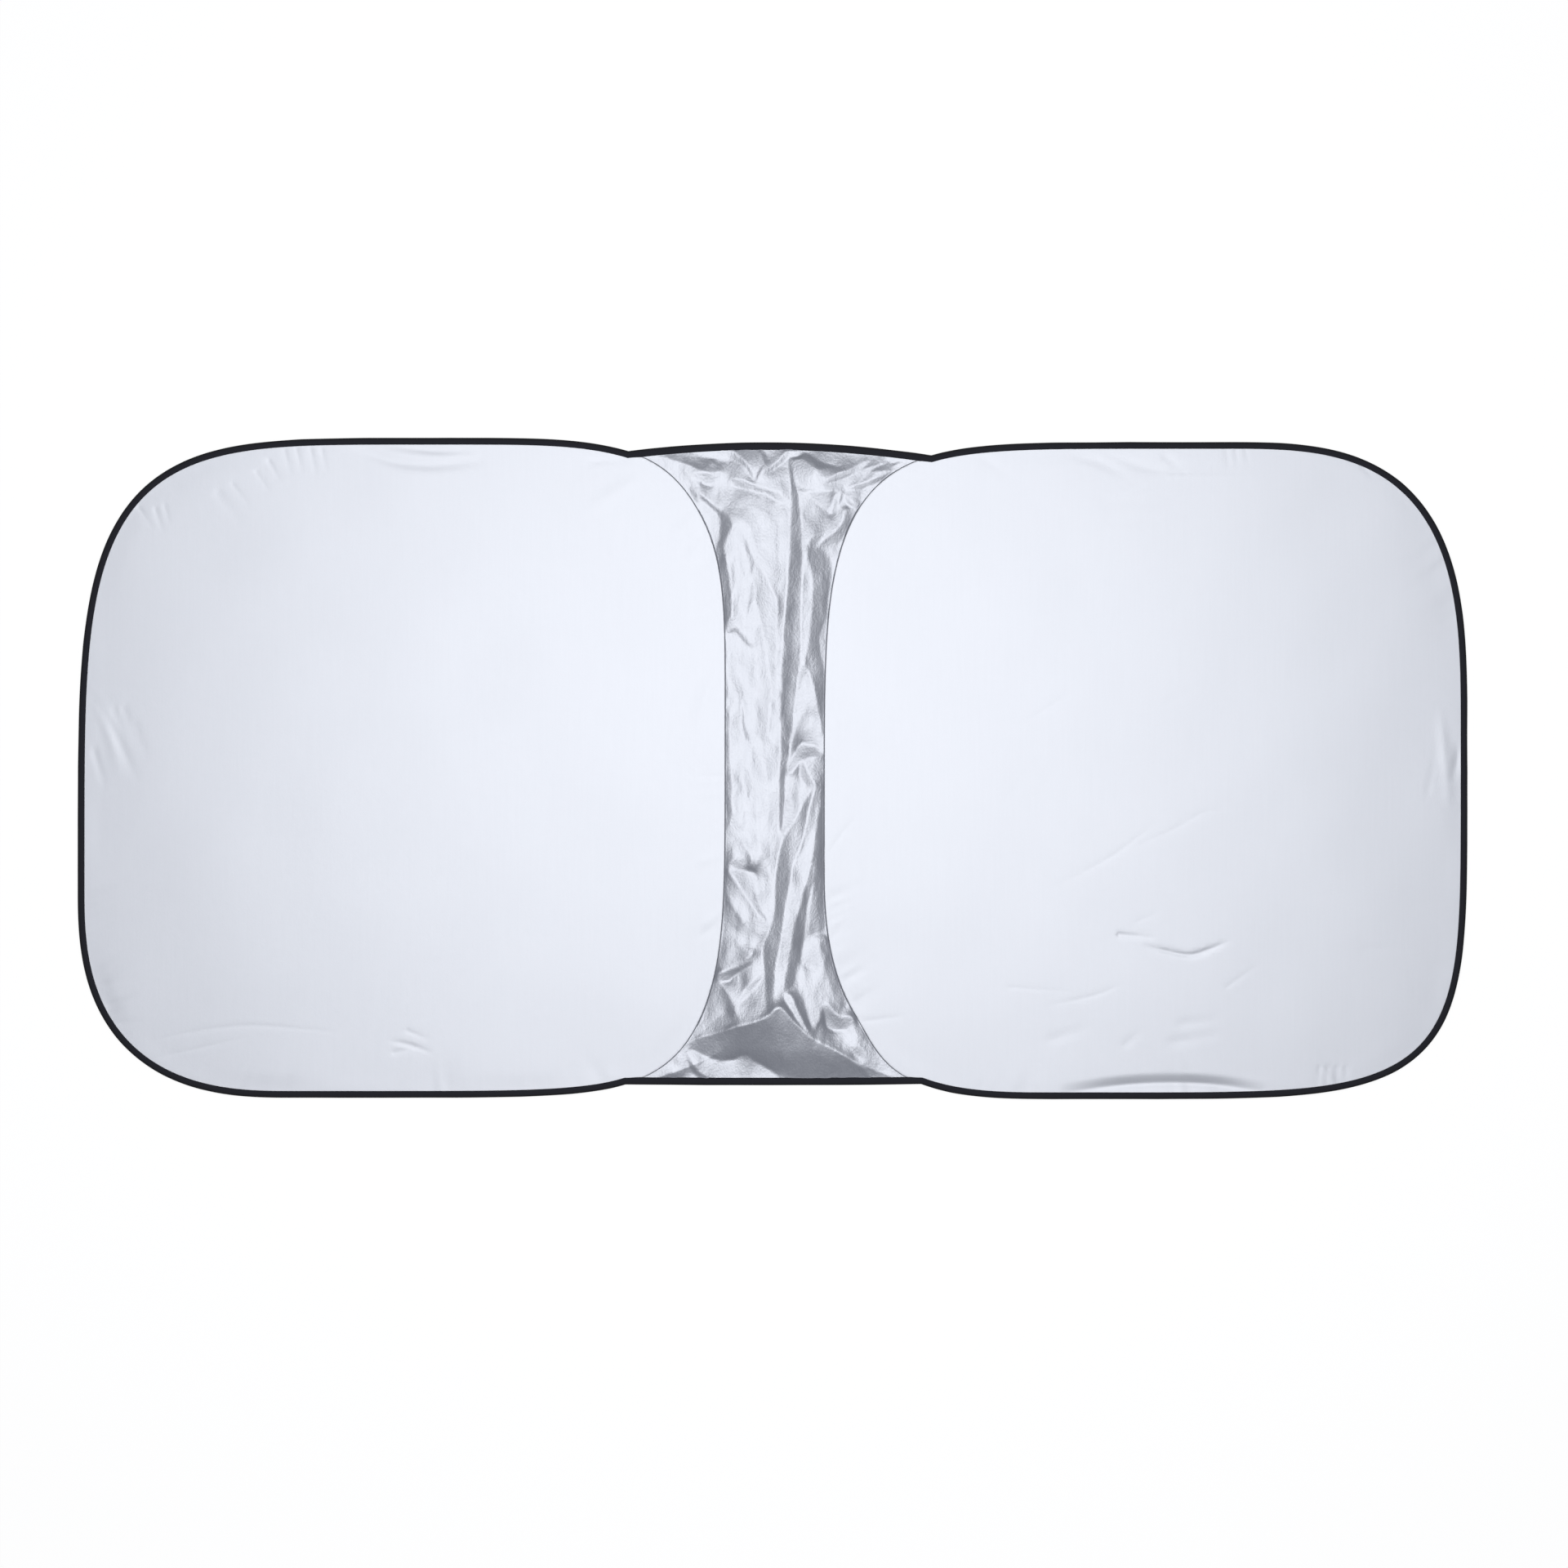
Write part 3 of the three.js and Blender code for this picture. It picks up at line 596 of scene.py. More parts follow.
BRIDGE_FACETS = (
    # Left seam, upper half
    Facet((-92, 301, -84, 301, -79, 292, -83, 284, -90, 292), 30, 0.3, 2.2, 0.9),
    Facet((-81, 297, -74, 294, -60, 281, -52, 277, -55, 268, -60, 273, -68, 281,
        -78, 289), 50, 0.48, 2.2, 0.9),
    Facet((-58, 279, -50, 277, -45, 271, -42, 262, -46, 254, -51, 245, -52, 238, -50, 226, -47, 214,
        -46, 200, -44, 188, -43, 175, -44, 163, -48, 157, -54, 155, -56, 180, -59, 200, -62, 220,
        -64, 237, -58, 247, -57, 262), 0, 0.5, 1.3, 0.9),
    Facet((-54, 145, -46, 150, -37, 153, -40, 148, -44, 145, -50, 144), 100, 0.46, 0.85),
    Facet((-42, 148, -37, 152, -30, 143, -20, 131, -27, 130, -36, 141), 50, 0.4, 1.7),
    Facet((-54, 142, -50, 140, -49, 110, -48, 70, -45, 55, -46, 35, -46, 10, -44, -5, -43, -25,
        -43, -45, -46, -62, -54, -70, -54, 0, -55, 80), 0, 0.32, 0.85, 0.9),
    Facet((-34, 78, -31, 66, -29, 46, -24, 34, -27, 28, -32, 36, -34, 52), 10, 0.35),
    # The soft grey fall beside the long pleat, and the pleat's steep side
    Facet((-34, 260, -30, 252, -24, 236, -17, 222, -8, 208, -1, 195, 5, 182, 6, 170, 5, 150, 4, 120,
        4, 100, 3, 60, -1, 58, -4, 100, -8, 125, -12, 145, -16, 165, -20, 185, -23, 205, -27, 220,
        -31, 238), 35, 0.3, 3.4, 1),
    Facet((2, 286, 7, 286, 7, 190, 3, 190), 180, 0.16, 1.3, 1),
    Facet((17, 334, 19, 334, 22, 322, 25, 308, 28, 295, 29, 283, 31, 270, 32, 250, 33, 230, 32, 200,
        31, 165, 31, 140, 30, 120, 28, 100, 25, 75, 22, 45, 19, 20, 15, 0, 14, -10, 14, -30, 12, -50,
        11, -66, 6, -66, 6, -20, 7, 0, 8, 20, 8, 50, 9, 80, 9, 100, 10, 125, 11, 145, 13, 170, 15, 200,
        17, 225, 18, 250, 19, 290, 18, 310, 16, 325), 0, 0.51, 1.4, 0.84),
    # Right seam, upper half
    Facet((78, 280, 96, 279, 88, 268, 82, 256, 77, 245, 73, 242, 50, 241, 57, 249, 68, 256,
        75, 266), 150, 0.5, 1.3, 0.9),
    Facet((39, 246, 44, 251, 60, 255, 52, 246, 46, 238, 40, 236), 150, 0.35, 1.3, 0.9),
    Facet((41, 236, 50, 238, 60, 231, 66, 222, 66, 208, 64, 198, 62, 180, 60, 160, 54, 152, 51, 140,
        53, 120, 59, 108, 60, 80, 60, 50, 60, 18, 56, 26, 52, 45, 49, 62, 46, 78, 43, 92, 38, 104,
        34, 112, 37, 130, 40, 150, 42, 170, 43, 190, 42, 205, 40, 219, 37, 226,
        38, 236), 180, 0.46, 1.7, 0.98),
    # Upper right facets
    Facet((34, 299, 50, 299, 73, 299, 68, 288, 65, 276, 63, 273, 55, 280, 45, 288,
        38, 294), 100, 0.36, 0.85, 0.77),
    Facet((66, 295, 74, 299, 71, 285, 66, 274, 62, 272, 64, 284), 10, 0.46),
    Facet((75, 298, 82, 290, 98, 281, 88, 278, 80, 283, 76, 291), 60, 0.42),
    Facet((74, 300, 92, 306, 108, 312, 128, 319, 118, 308, 105, 301, 90, 299), 115, 0.43),
    Facet((56, 306, 64, 315, 74, 320, 84, 321, 92, 322, 86, 316, 74, 311, 64, 307), 105, 0.43),
    Facet((76, 318, 84, 323, 98, 331, 106, 333, 98, 323, 86, 317), 120, 0.35),
    Facet((104, 320, 144, 320, 134, 327, 126, 332, 114, 326), 280, 0.46),
    Facet((21, 333, 34, 334, 40, 328, 46, 322, 48, 312, 52, 302, 55, 299, 36, 300, 28, 303,
        24, 318), 60, 0.24, 1.7),
    # Upper edge
    Facet((-84, 343, -42, 343, -36, 336, -28, 330, -22, 322, -19, 308, -23, 312, -27, 320, -33, 327,
        -42, 332, -52, 334, -66, 335, -78, 338), 60, 0.48, 0.85),
    Facet((-19, 308, -18, 318, -13, 325, -9, 329, -11, 321, -15, 313), 0, 0.46, 0.8),
    Facet((-12, 319, -6, 321, 0, 327, 8, 334, 15, 343, 36, 343, 30, 336, 18, 335, 8, 326, 0, 321,
        -8, 317), 130, 0.48, 0.85),
    Facet((34, 343, 42, 337, 52, 331, 62, 327, 73, 325, 56, 322, 48, 322, 44, 328, 38, 335,
        28, 336), 230, 0.48, 0.85),
    Facet((-14, 342, -8, 342, -5, 333, -9, 328, -11, 334), 200, 0.4, 0.85),
    Facet((-46, 313, -36, 312, -26, 309, -14, 304, -4, 301, 2, 298, 5, 294, 6, 286, 0, 290, -8, 295,
        -18, 297, -30, 300, -42, 303), 70, 0.4, 2.1, 0.77),
    Facet((-92, 322, -88, 318, -80, 320, -66, 319, -56, 321, -52, 318, -60, 310, -66, 304, -74, 305,
        -84, 312), 100, 0.32, 2.1, 1),
    Facet((0, 299, 6, 300, 14, 291, 19, 287, 12, 285, 5, 288), 60, 0.2, 0.85),
    # Waist
    Facet((15, -6, 18, 6, 22, 14, 26, 22, 31, 29, 38, 26, 46, 25, 52, 21, 60, 9, 50, 12, 42, 12, 36, 11,
        30, 8, 26, 2, 22, -4), 285, 0.45, 1.7),
    Facet((33, 8, 36, 2, 40, -8, 47, -17, 44, -23, 36, -20, 30, -12, 28, -4, 30, 3), 20, 0.38),
    Facet((35, 9, 58, 9, 54, -4, 47, -15, 41, -8), 180, 0.13, 0.85, 1),
    Facet((47, -17, 46, -22, 42, -35, 38, -50, 36, -62, 33, -75, 31, -84, 26, -95, 22, -105, 20, -120,
        17, -135, 14, -150, 12, -165, 10, -180, 8, -195, 4, -212, 2, -230, 0, -245, -4, -258, -6, -266,
        -8, -250, -8, -230, -10, -215, -12, -200, -10, -188, -5, -175, 0, -163, 2, -150, 2, -130,
        3, -110, 6, -90, 11, -75, 16, -67, 22, -58, 27, -48, 32, -38, 38, -28), 0, 0.54, 1.3, 0.98),
    Facet((61, 8, 60, -20, 59, -60, 58, -95, 58, -122, 44, -125, 38, -150, 36, -178, 31, -203, 27, -215,
        25, -228, 21, -240, 11, -240, 14, -220, 18, -200, 22, -175, 26, -158, 30, -145, 35, -125,
        39, -110, 42, -95, 46, -70, 50, -45, 53, -20, 57, 0), 180, 0.5, 1.3, 0.98),
    Facet((44, -124, 59, -121, 60, -140, 60, -165, 57, -173, 46, -176, 38, -179,
        39, -150), 180, 0.44, 1.3, 1),
    Facet((44, -183, 47, -178, 51, -176, 56, -178, 62, -185, 54, -184), 260, 0.46, 0.85),
    # Left seam, lower half
    Facet((-53, -72, -45, -76, -38, -75, -32, -78, -28, -85, -24, -92, -22, -98, -24, -107, -27, -104,
        -31, -98, -38, -96, -44, -100, -53, -106), 340, 0.42, 1.3, 0.77),
    Facet((-50, -109, -40, -108, -28, -110, -19, -111, -17, -118, -19, -126, -16, -140, -11, -152,
        -4, -163, -7, -165, -14, -159, -22, -149, -28, -139, -34, -129, -42, -118), 220, 0.43, 1.7),
    Facet((-54, -118, -50, -130, -46, -142, -40, -152, -34, -160, -31, -166, -38, -174, -46, -172,
        -55, -178), 15, 0.46),
    Facet((-56, -182, -40, -184, -30, -194, -20, -198, -26, -204, -42, -210, -62, -217,
        -60, -200), 350, 0.42),
    Facet((-61, -221, -40, -214, -20, -206, -22, -211, -30, -217, -40, -222, -47, -230,
        -57, -230), 120, 0.48, 0.85),
    Facet((-66, -222, -57, -228, -50, -240, -44, -250, -42, -262, -50, -262, -58, -268, -80, -288,
        -94, -296, -86, -280, -78, -268, -72, -250), 30, 0.36, 1.3, 0.77),
    Facet((-57, -231, -50, -238, -42, -252, -39, -262, -42, -277, -47, -263,
        -53, -250), 10, 0.48, 0.85),
    Facet((-80, -289, -58, -271, -50, -264, -45, -274, -60, -281), 330, 0.26, 1.3, 1),
    Facet((-36, -250, -30, -236, -12, -220, -8, -224, -20, -238, -32, -252), 140, 0.24, 1.7, 0.77),
    # Lower right
    Facet((11, -242, 19, -242, 24, -252, 28, -262, 34, -275, 41, -286, 33, -280, 24, -268,
        14, -252), 20, 0.38),
    Facet((56, -205, 62, -192, 67, -205, 72, -222, 78, -245, 81, -254, 74, -263, 66, -250, 60, -230,
        55, -215), 170, 0.44, 1.3, 0.77),
    Facet((55, -258, 60, -252, 66, -262, 74, -268, 80, -266, 89, -268, 86, -276, 76, -282, 66, -283,
        58, -279), 60, 0.42, 1.3, 1),
    Facet((30, -206, 44, -190, 52, -186, 50, -200, 44, -216, 36, -214), 60, 0.18, 1.7, 1.5),
    Facet((82, -298, 98, -300, 102, -312, 88, -312), 60, 0.16, 2.5, 2.1),
    # The broad dark slope above the lower edge, and the fan in the lower left corner
    Facet((-95, -298, -84, -291, -66, -286, -50, -281, -42, -278, -42, -313, -54, -316, -66, -313,
        -78, -308, -88, -303), 80, 0.44, 1, 0.77),
    Facet((28, -276, 38, -287, 50, -294, 64, -301, 78, -309, 90, -318, 100, -325, 108, -336, 60, -336,
        28, -336), 105, 0.5, 1, 0.77),
    Facet((-50, -281, -40, -277, -28, -275, -14, -270, -6, -266, 0, -260, 8, -255, 14, -260, 20, -268,
        28, -277, 36, -286, 34, -336, 8, -336, 0, -328, -10, -321, -20, -315, -28, -309, -34, -310,
        -40, -314, -50, -315), 90, 0.66, 1, 0.77),
    Facet((36, -228, 54, -216, 54, -250, 51, -272, 43, -280, 37, -266, 33, -246), 0, 0.02, 1.3, 1.4),
    Facet((-93, -303, -88, -316, -80, -326, -70, -333, -64, -338, -76, -338, -86, -329,
        -92, -316), 45, 0.55, 0.85),
    Facet((-106, -305, -102, -303, -102, -316, -107, -319), 10, 0.45, 0.85),
    Facet((-122, -332, -108, -325, -101, -336, -122, -339), 80, 0.35),
    Facet((-38, -322, -34, -326, -30, -338, -35, -338), 350, 0.35, 0.85),
)

PANEL_FOLDS = {
    "left": (
        # Short puckers under the tape at the upper left
        streak(-526, 342, -520, 320, -0.2, 4), streak(-513, 344, -508, 322, -0.22, 4),
        streak(-498, 344, -493, 320, -0.25, 4), streak(-486, 344, -481, 323, -0.2, 4),
        streak(-543, 331, -533, 314, -0.3, 4), streak(-556, 319, -544, 301, -0.22, 4),
        Fold(((-598, 297, -0.35), (-576, 269, -0.1)), 5), streak(-582, 306, -566, 286, -0.2, 4),
        streak(-683, 281, -670, 262, -0.2, 4), streak(-665, 279, -658, 258, -0.2, 4),
        streak(-655, 283, -650, 265, -0.15, 4),
        # Streaks at the left edge
        crease(0.3, 9, (-730, 80), (-715, 41), (-704, -5)),
        Fold(((-731, 77, -0.087), (-709, 38, -0.35), (-687, -8, -0.087)), 6),
        streak(-710, 63, -697, 35, -0.25, 5), streak(-699, 64, -686, 26, -0.25, 5),
        streak(-687, 48, -675, 13, -0.2, 5), streak(-731, 18, -721, -15, -0.3, 5),
        # Long soft creases under the tape at the top, and the streak beside the bridge
        Fold(((-445, 344, -0.19), (-410, 331, -0.75), (-366, 327, -0.75), (-317, 331, -0.19)), 8),
        Fold(((-418, 349, -0.17), (-370, 343, -0.7), (-328, 342, -0.17)), 6),
        Fold(((-203, 277, 0.087), (-172, 296, 0.35), (-140, 316, 0.087)), 10),
        Fold(((-194, 331, -0.35), (-152, 333, -0.1)), 5), streak(-103, 255, -75, 277, 0.2, 6),
        streak(-89, 229, -65, 255, 0.2, 6), streak(-92, 213, -63, 235, 0.15, 6),
        # Seam side
        crease(0.6, 12, (-54, 117), (-74, 76), (-82, 34)), streak(-77, -100, -50, -91, 0.3, 6),
        streak(-72, -166, -51, -151, 0.3, 6), streak(-77, -180, -51, -165, -0.25, 6),
        # Lower edge and lower left corner
        crease(-0.14, 3.5, (-672, -294), (-621, -283), (-559, -277), (-471, -284)),
        crease(-0.14, 3.5, (-674, -314), (-617, -301), (-568, -290)),
        crease(-0.4, 4, (-410, -294), (-391, -298), (-371, -305)),
        streak(-393, -283, -373, -291, -0.25, 4), streak(-408, -306, -387, -302, -0.25, 4),
        streak(-716, -255, -686, -245, -0.2, 5), streak(-713, -275, -684, -272, -0.2, 5),
        streak(-719, -233, -691, -225, -0.15, 5), streak(-330, -96, -358, -129, -0.1, 3.5),
    ),
    "right": (
        # Streaks under the tape at the top
        crease(-0.4, 7, (328, 336), (354, 329), (381, 316)),
        Fold(((363, 337, -0.087), (398, 325, -0.35), (433, 320, -0.087)), 7),
        streak(423, 337, 443, 319, -0.3, 5), streak(230, 333, 248, 319, -0.3, 6),
        streak(361, 286, 420, 290, -0.22, 10), streak(365, 268, 411, 270, -0.18, 10),
        streak(428, 315, 518, 315, 0.1, 3.5), streak(489, 343, 491, 326, -0.15, 4),
        streak(499, 343, 502, 327, -0.15, 4), streak(510, 343, 512, 329, -0.12, 4),
        streak(636, 325, 647, 314, -0.15, 4),
        # Thin lines on the open cloth
        Fold(((268, 47, -0.037), (299, 67, -0.15), (333, 90, -0.037)), 3.5),
        streak(424, 70, 474, 96, -0.1, 3.5), crease(-0.14, 5, (243, -44), (261, -22), (280, 1)),
        crease(-0.16, 3.5, (301, -129), (363, -96), (412, -60)),
        crease(-0.14, 3.5, (389, -85), (433, -65), (463, -48), (489, -45)),
        Fold(((373, -179, -0.6), (409, -182, -0.11)), 3.5),
        Fold(((401, -191, -0.1), (425, -197, -0.75), (449, -201, -0.75),
              (468, -196, -0.75), (490, -187, -0.1)), 3.5),
        streak(490, -235, 524, -211, -0.14, 3.5),
        crease(-0.16, 3.5, (299, -255), (345, -245), (373, -234)),
        streak(255, -236, 320, -240, -0.12, 3.5), streak(638, -194, 683, -195, -0.1, 3.5),
        streak(394, -165, 417, -154, -0.12, 3.5),
        # Soft dips above the lower edge, and the deep one at the tape
        streak(301, -292, 337, -280, -0.3, 8), streak(441, -275, 479, -270, -0.3, 7),
        streak(432, -295, 479, -287, -0.3, 8), streak(380, -298, 395, -284, -0.3, 5),
        Fold(((319, -349, -0.57), (372, -342, -2.2), (425, -339, -2.2),
              (477, -341, -2.2), (526, -348, -0.57)), 10),
        streak(589, -323, 587, -343, -0.15, 4), streak(598, -323, 597, -343, -0.15, 4),
        streak(608, -323, 608, -343, -0.15, 4), streak(618, -323, 619, -342, -0.15, 4),
        # Right edge
        crease(0.4, 8, (720, 58), (724, 18), (729, -37)),
        Fold(((738, 26, -0.12), (738, 10, -0.5), (734, -9, -0.12)), 6),
        streak(706, -26, 715, 18, -0.15, 5),
        # Seam side
        crease(-0.2, 4, (56, -97), (72, -74), (91, -51)), streak(59, -172, 83, -161, 0.2, 6),
        streak(58, -186, 86, -157, -0.25, 5), streak(68, -200, 94, -178, 0.2, 6),
        streak(80, -255, 104, -240, -0.25, 5), streak(93, -273, 140, -267, -0.2, 4),
        streak(72, -228, 99, -218, -0.15, 5),
    ),
}


# Meshes

def new_object(name: str, data: bpy.types.ID) -> bpy.types.Object:
    """A new object in the scene."""
    made = bpy.data.objects.new(name, data)
    bpy.context.scene.collection.objects.link(made)
    return made


def object_from(name: str, shape: bmesh.types.BMesh) -> bpy.types.Object:
    """A new smooth object in the scene from a finished bmesh."""
    mesh = bpy.data.meshes.new(name)
    shape.to_mesh(mesh)
    shape.free()
    mesh.polygons.foreach_set("use_smooth", [True] * len(mesh.polygons))
    return new_object(name, mesh)


def grid_shape(
    columns: int,
    rows: int,
    place: Callable[[np.ndarray], np.ndarray],
    refine: Callable[[bmesh.types.BMesh], None] | None = None,
) -> bmesh.types.BMesh:
    """A grid whose points are moved to their places.

    Args:
        columns: cells across.
        rows: cells along.
        place: gives x, y and z for rows of (share across, share along).
        refine: divides cells further before the points are moved.

    Returns:
        The moved grid, with a UV map of the two shares.
    """
    shape = bmesh.new()
    shape.loops.layers.uv.new("shares")
    bmesh.ops.create_grid(shape, x_segments=columns, y_segments=rows, size=0.5, calc_uvs=True)
    if refine:
        refine(shape)
    shares = np.array([vert.co[:2] for vert in shape.verts]) + 0.5
    for vert, spot in zip(shape.verts, place(shares)):
        vert.co = spot
    return shape


def tube_shape(
    path: np.ndarray, steps: np.ndarray, sections: np.ndarray, closed: bool,
) -> bmesh.types.BMesh:
    """A body swept along a path in the ground plane.

    Args:
        path: places of the path.
        steps: the path's mitres.
        sections: for each place, the section's points as (distance inwards, height).
        closed: whether the path runs back to its first place.

    Returns:
        The closed body, with a UV map of the shares across and along.
    """
    rows = len(path) if closed else len(path) - 1
    columns = sections.shape[1]

    def place(shares: np.ndarray) -> np.ndarray:
        """Wraps the grid round the path."""
        row = np.rint(shares[:, 1] * rows).astype(int) % len(path)
        column = np.rint(shares[:, 0] * columns).astype(int) % columns
        inwards, height = sections[row, column].T
        spots = path[row] + steps[row] * inwards[:, None]
        return np.column_stack([spots, height])

    shape = grid_shape(columns, rows, place)
    bmesh.ops.remove_doubles(shape, verts=shape.verts, dist=SAME_SPOT)
    if not closed:
        rims = [edge for edge in shape.edges if edge.is_boundary]
        bmesh.ops.holes_fill(shape, edges=rims)
    bmesh.ops.recalc_face_normals(shape, faces=shape.faces)
    return shape


def place_piece(piece: bpy.types.Object, finish: "Finish", nodes: Sequence[str]) -> None:
    """Dresses a piece, rides it on the shade and lets it stand for CAD nodes."""
    piece.data.materials.append(finish.material())
    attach(piece, BODY)
    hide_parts(*nodes)
    log.info("%s: %d faces", piece.name, len(piece.data.polygons))


def give_thickness(piece: bpy.types.Object) -> None:
    """Gives a sheet the cloth's thickness downwards from its upper face."""
    solid = piece.modifiers.new("thickness", "SOLIDIFY")
    solid.thickness = LAYERS.cloth
    solid.offset = -1
    solid.use_even_offset = False


# Finishes

class Value:
    """A number socket that shader maths is written with."""

    def __init__(self, graph: "Graph", socket: bpy.types.NodeSocket) -> None:
        """Wraps a socket of a graph."""
        self.graph = graph
        self.socket = socket

    def _with(self, operation: str, first: Any, second: Any) -> "Value":
        """A Math node on two values."""
        node = self.graph.add("ShaderNodeMath", {"operation": operation}, {0: first, 1: second})
        return Value(self.graph, node.outputs[0])

    def __add__(self, other: Any) -> "Value":
        """Sum."""
        return self._with("ADD", self, other)

    def __radd__(self, other: Any) -> "Value":
        """Sum with a number in front."""
        return self._with("ADD", other, self)

    def __sub__(self, other: Any) -> "Value":
        """Difference."""
        return self._with("SUBTRACT", self, other)

    def __mul__(self, other: Any) -> "Value":
        """Product."""
        return self._with("MULTIPLY", self, other)

    def __abs__(self) -> "Value":
        """Size without the sign."""
        return self._with("ABSOLUTE", self, 0)


class Graph:
    """The node tree of one finish."""

    # A Wave node of scale 1 turns through so many radians over a metre
    BAND_RADIANS = 20

    def __init__(self, name: str) -> None:
        """Starts an empty material."""
        self.material = bpy.data.materials.new(name)
        self.material.use_nodes = True
        self.tree = self.material.node_tree
        self.tree.nodes.clear()

    def add(self, kind: str, settings: dict[str, Any], inputs: dict[Any, Any]) -> bpy.types.Node:
        """Adds a node.

        Args:
            kind: the node's type.
            settings: the node's own settings, and a ramp's stops as (place, value) pairs.
            inputs: a value, a Value or an output socket for each input's name or number.

        Returns:
            The new node.
        """
        node = self.tree.nodes.new(kind)
        for name, setting in settings.items():
            if name == "stops":
                self._set_stops(node.color_ramp, setting)
            else:
                setattr(node, name, setting)
        for name, given in inputs.items():
            socket = node.inputs[name]
            if isinstance(given, Value):
                self.tree.links.new(given.socket, socket)
            elif isinstance(given, bpy.types.NodeSocket):
                self.tree.links.new(given, socket)
            else:
                socket.default_value = given
        return node

    @staticmethod
    def _set_stops(ramp: bpy.types.ColorRamp, stops: Sequence[Pair]) -> None:
        """Sets a ramp's stops as grey values."""
        while len(ramp.elements) < len(stops):
            ramp.elements.new(0.5)
        for element, (place, value) in zip(ramp.elements, stops):
            element.position = place
            element.color = (value, value, value, 1)

    def coordinates(self, scale: Sequence[float], output: str = "Object") -> bpy.types.NodeSocket:
        """Coordinates times a scale on each axis."""
        source = self.add("ShaderNodeTexCoord", {}, {})
        mapped = self.add("ShaderNodeMapping", {}, {"Vector": source.outputs[output], "Scale": scale})
        return mapped.outputs["Vector"]

    def noise(self, scale: Sequence[float], detail: float = 2) -> Value:
        """Noise, about 0 to 1, with so many waves in a metre on each axis."""
        inputs = {"Vector": self.coordinates(scale), "Scale": 1.0, "Detail": detail}
        return Value(self, self.add("ShaderNodeTexNoise", {}, inputs).outputs[0])

    def creases(self, scale: Sequence[float]) -> Value:
        """Swells of 0 to about 0.3 with crisp valleys between them."""
        return abs(self.noise(scale, 1) - 0.5)

    def threads(self, pitch: float, axis: str, output: str = "Object") -> Value:
        """Threads side by side along an axis, as a sine wave of 0 to 1."""
        settings = {"wave_type": "BANDS", "bands_direction": axis, "wave_profile": "SIN"}
        turns = 2 * math.pi / (self.BAND_RADIANS * pitch)
        inputs = {"Vector": self.coordinates((1, 1, 1), output), "Scale": turns}
        return Value(self, self.add("ShaderNodeTexWave", settings, inputs).outputs["Fac"])

    def blend(self, share: Value, first: Any, second: Any) -> bpy.types.NodeSocket:
        """A colour between two others."""
        node = self.add("ShaderNodeMix", {"data_type": "RGBA"}, {0: share, 6: first, 7: second})
        return node.outputs[2]

    def stepped(self, value: Value, stops: Sequence[Pair]) -> Value:
        """A value taken through a ramp."""
        node = self.add("ShaderNodeValToRGB", {"stops": stops}, {"Fac": value})
        return Value(self, node.outputs["Color"])

    def surface(self, inputs: dict[str, Any], height: Value, strength: float, distance: float) -> None:
        """Ends the tree in a Principled shader with a bump."""
        relief = {"Height": height, "Strength": strength, "Distance": distance}
        bump = self.add("ShaderNodeBump", {}, relief)
        shader = self.add("ShaderNodeBsdfPrincipled", {}, {**inputs, "Normal": bump.outputs["Normal"]})
        self.add("ShaderNodeOutputMaterial", {}, {"Surface": shader.outputs["BSDF"]})


class Finish:
    """A finish that makes its material once."""

    name: str

    def material(self) -> bpy.types.Material:
        """The finish's material."""
        return bpy.data.materials.get(self.name) or self.build(Graph(self.name))

    def build(self, graph: Graph) -> bpy.types.Material:
        """Fills the node tree."""
        raise NotImplementedError


def colour(red: float, green: float, blue: float) -> Colour:
    """A linear colour with full alpha."""
    return (red, green, blue, 1.0)


@dataclass(frozen=True)
class SilverCloth(Finish):
    """Silver-coated polyester: satin and finely woven, with creases and a grain whose
    heights are in millimetres."""

    name: str
    light: Colour
    shade: Colour
    metallic: float
    roughness: float
    crinkle: float
    grain: float
    thread_pitch: float = 0.7 * MM
    thread: float = 0.01
    slub: float = 0.006
    fine_crinkle_share: float = 0.4
    mottle: tuple[Pair, ...] = ((0.32, 0), (0.68, 1))
    bump: float = 1 * MM

    def build(self, graph: Graph) -> bpy.types.Material:
        """Weave, slubs, crinkles and grain."""
        slubs = graph.noise((420, 14, 14), 3)
        clouds = graph.noise((9, 9, 9), 2)
        broad = graph.creases((62, 24, 40))
        narrow = graph.creases((170, 75, 110))
        grain = graph.noise((520, 380, 500), 2)
        warp = graph.threads(self.thread_pitch, "X")
        weft = graph.threads(self.thread_pitch, "Y")
        tone = graph.stepped(slubs * 0.3 + clouds * 0.3 + grain * 0.4, self.mottle)
        height = warp * weft * self.thread + slubs * self.slub + grain * self.grain
        height = height + broad * self.crinkle + narrow * (self.fine_crinkle_share * self.crinkle)
        inputs = {
            "Base Color": graph.blend(tone, self.shade, self.light),
            "Roughness": self.roughness + grain * 0.08,
            "Metallic": self.metallic,
        }
        graph.surface(inputs, height, 1, self.bump)
        return graph.material


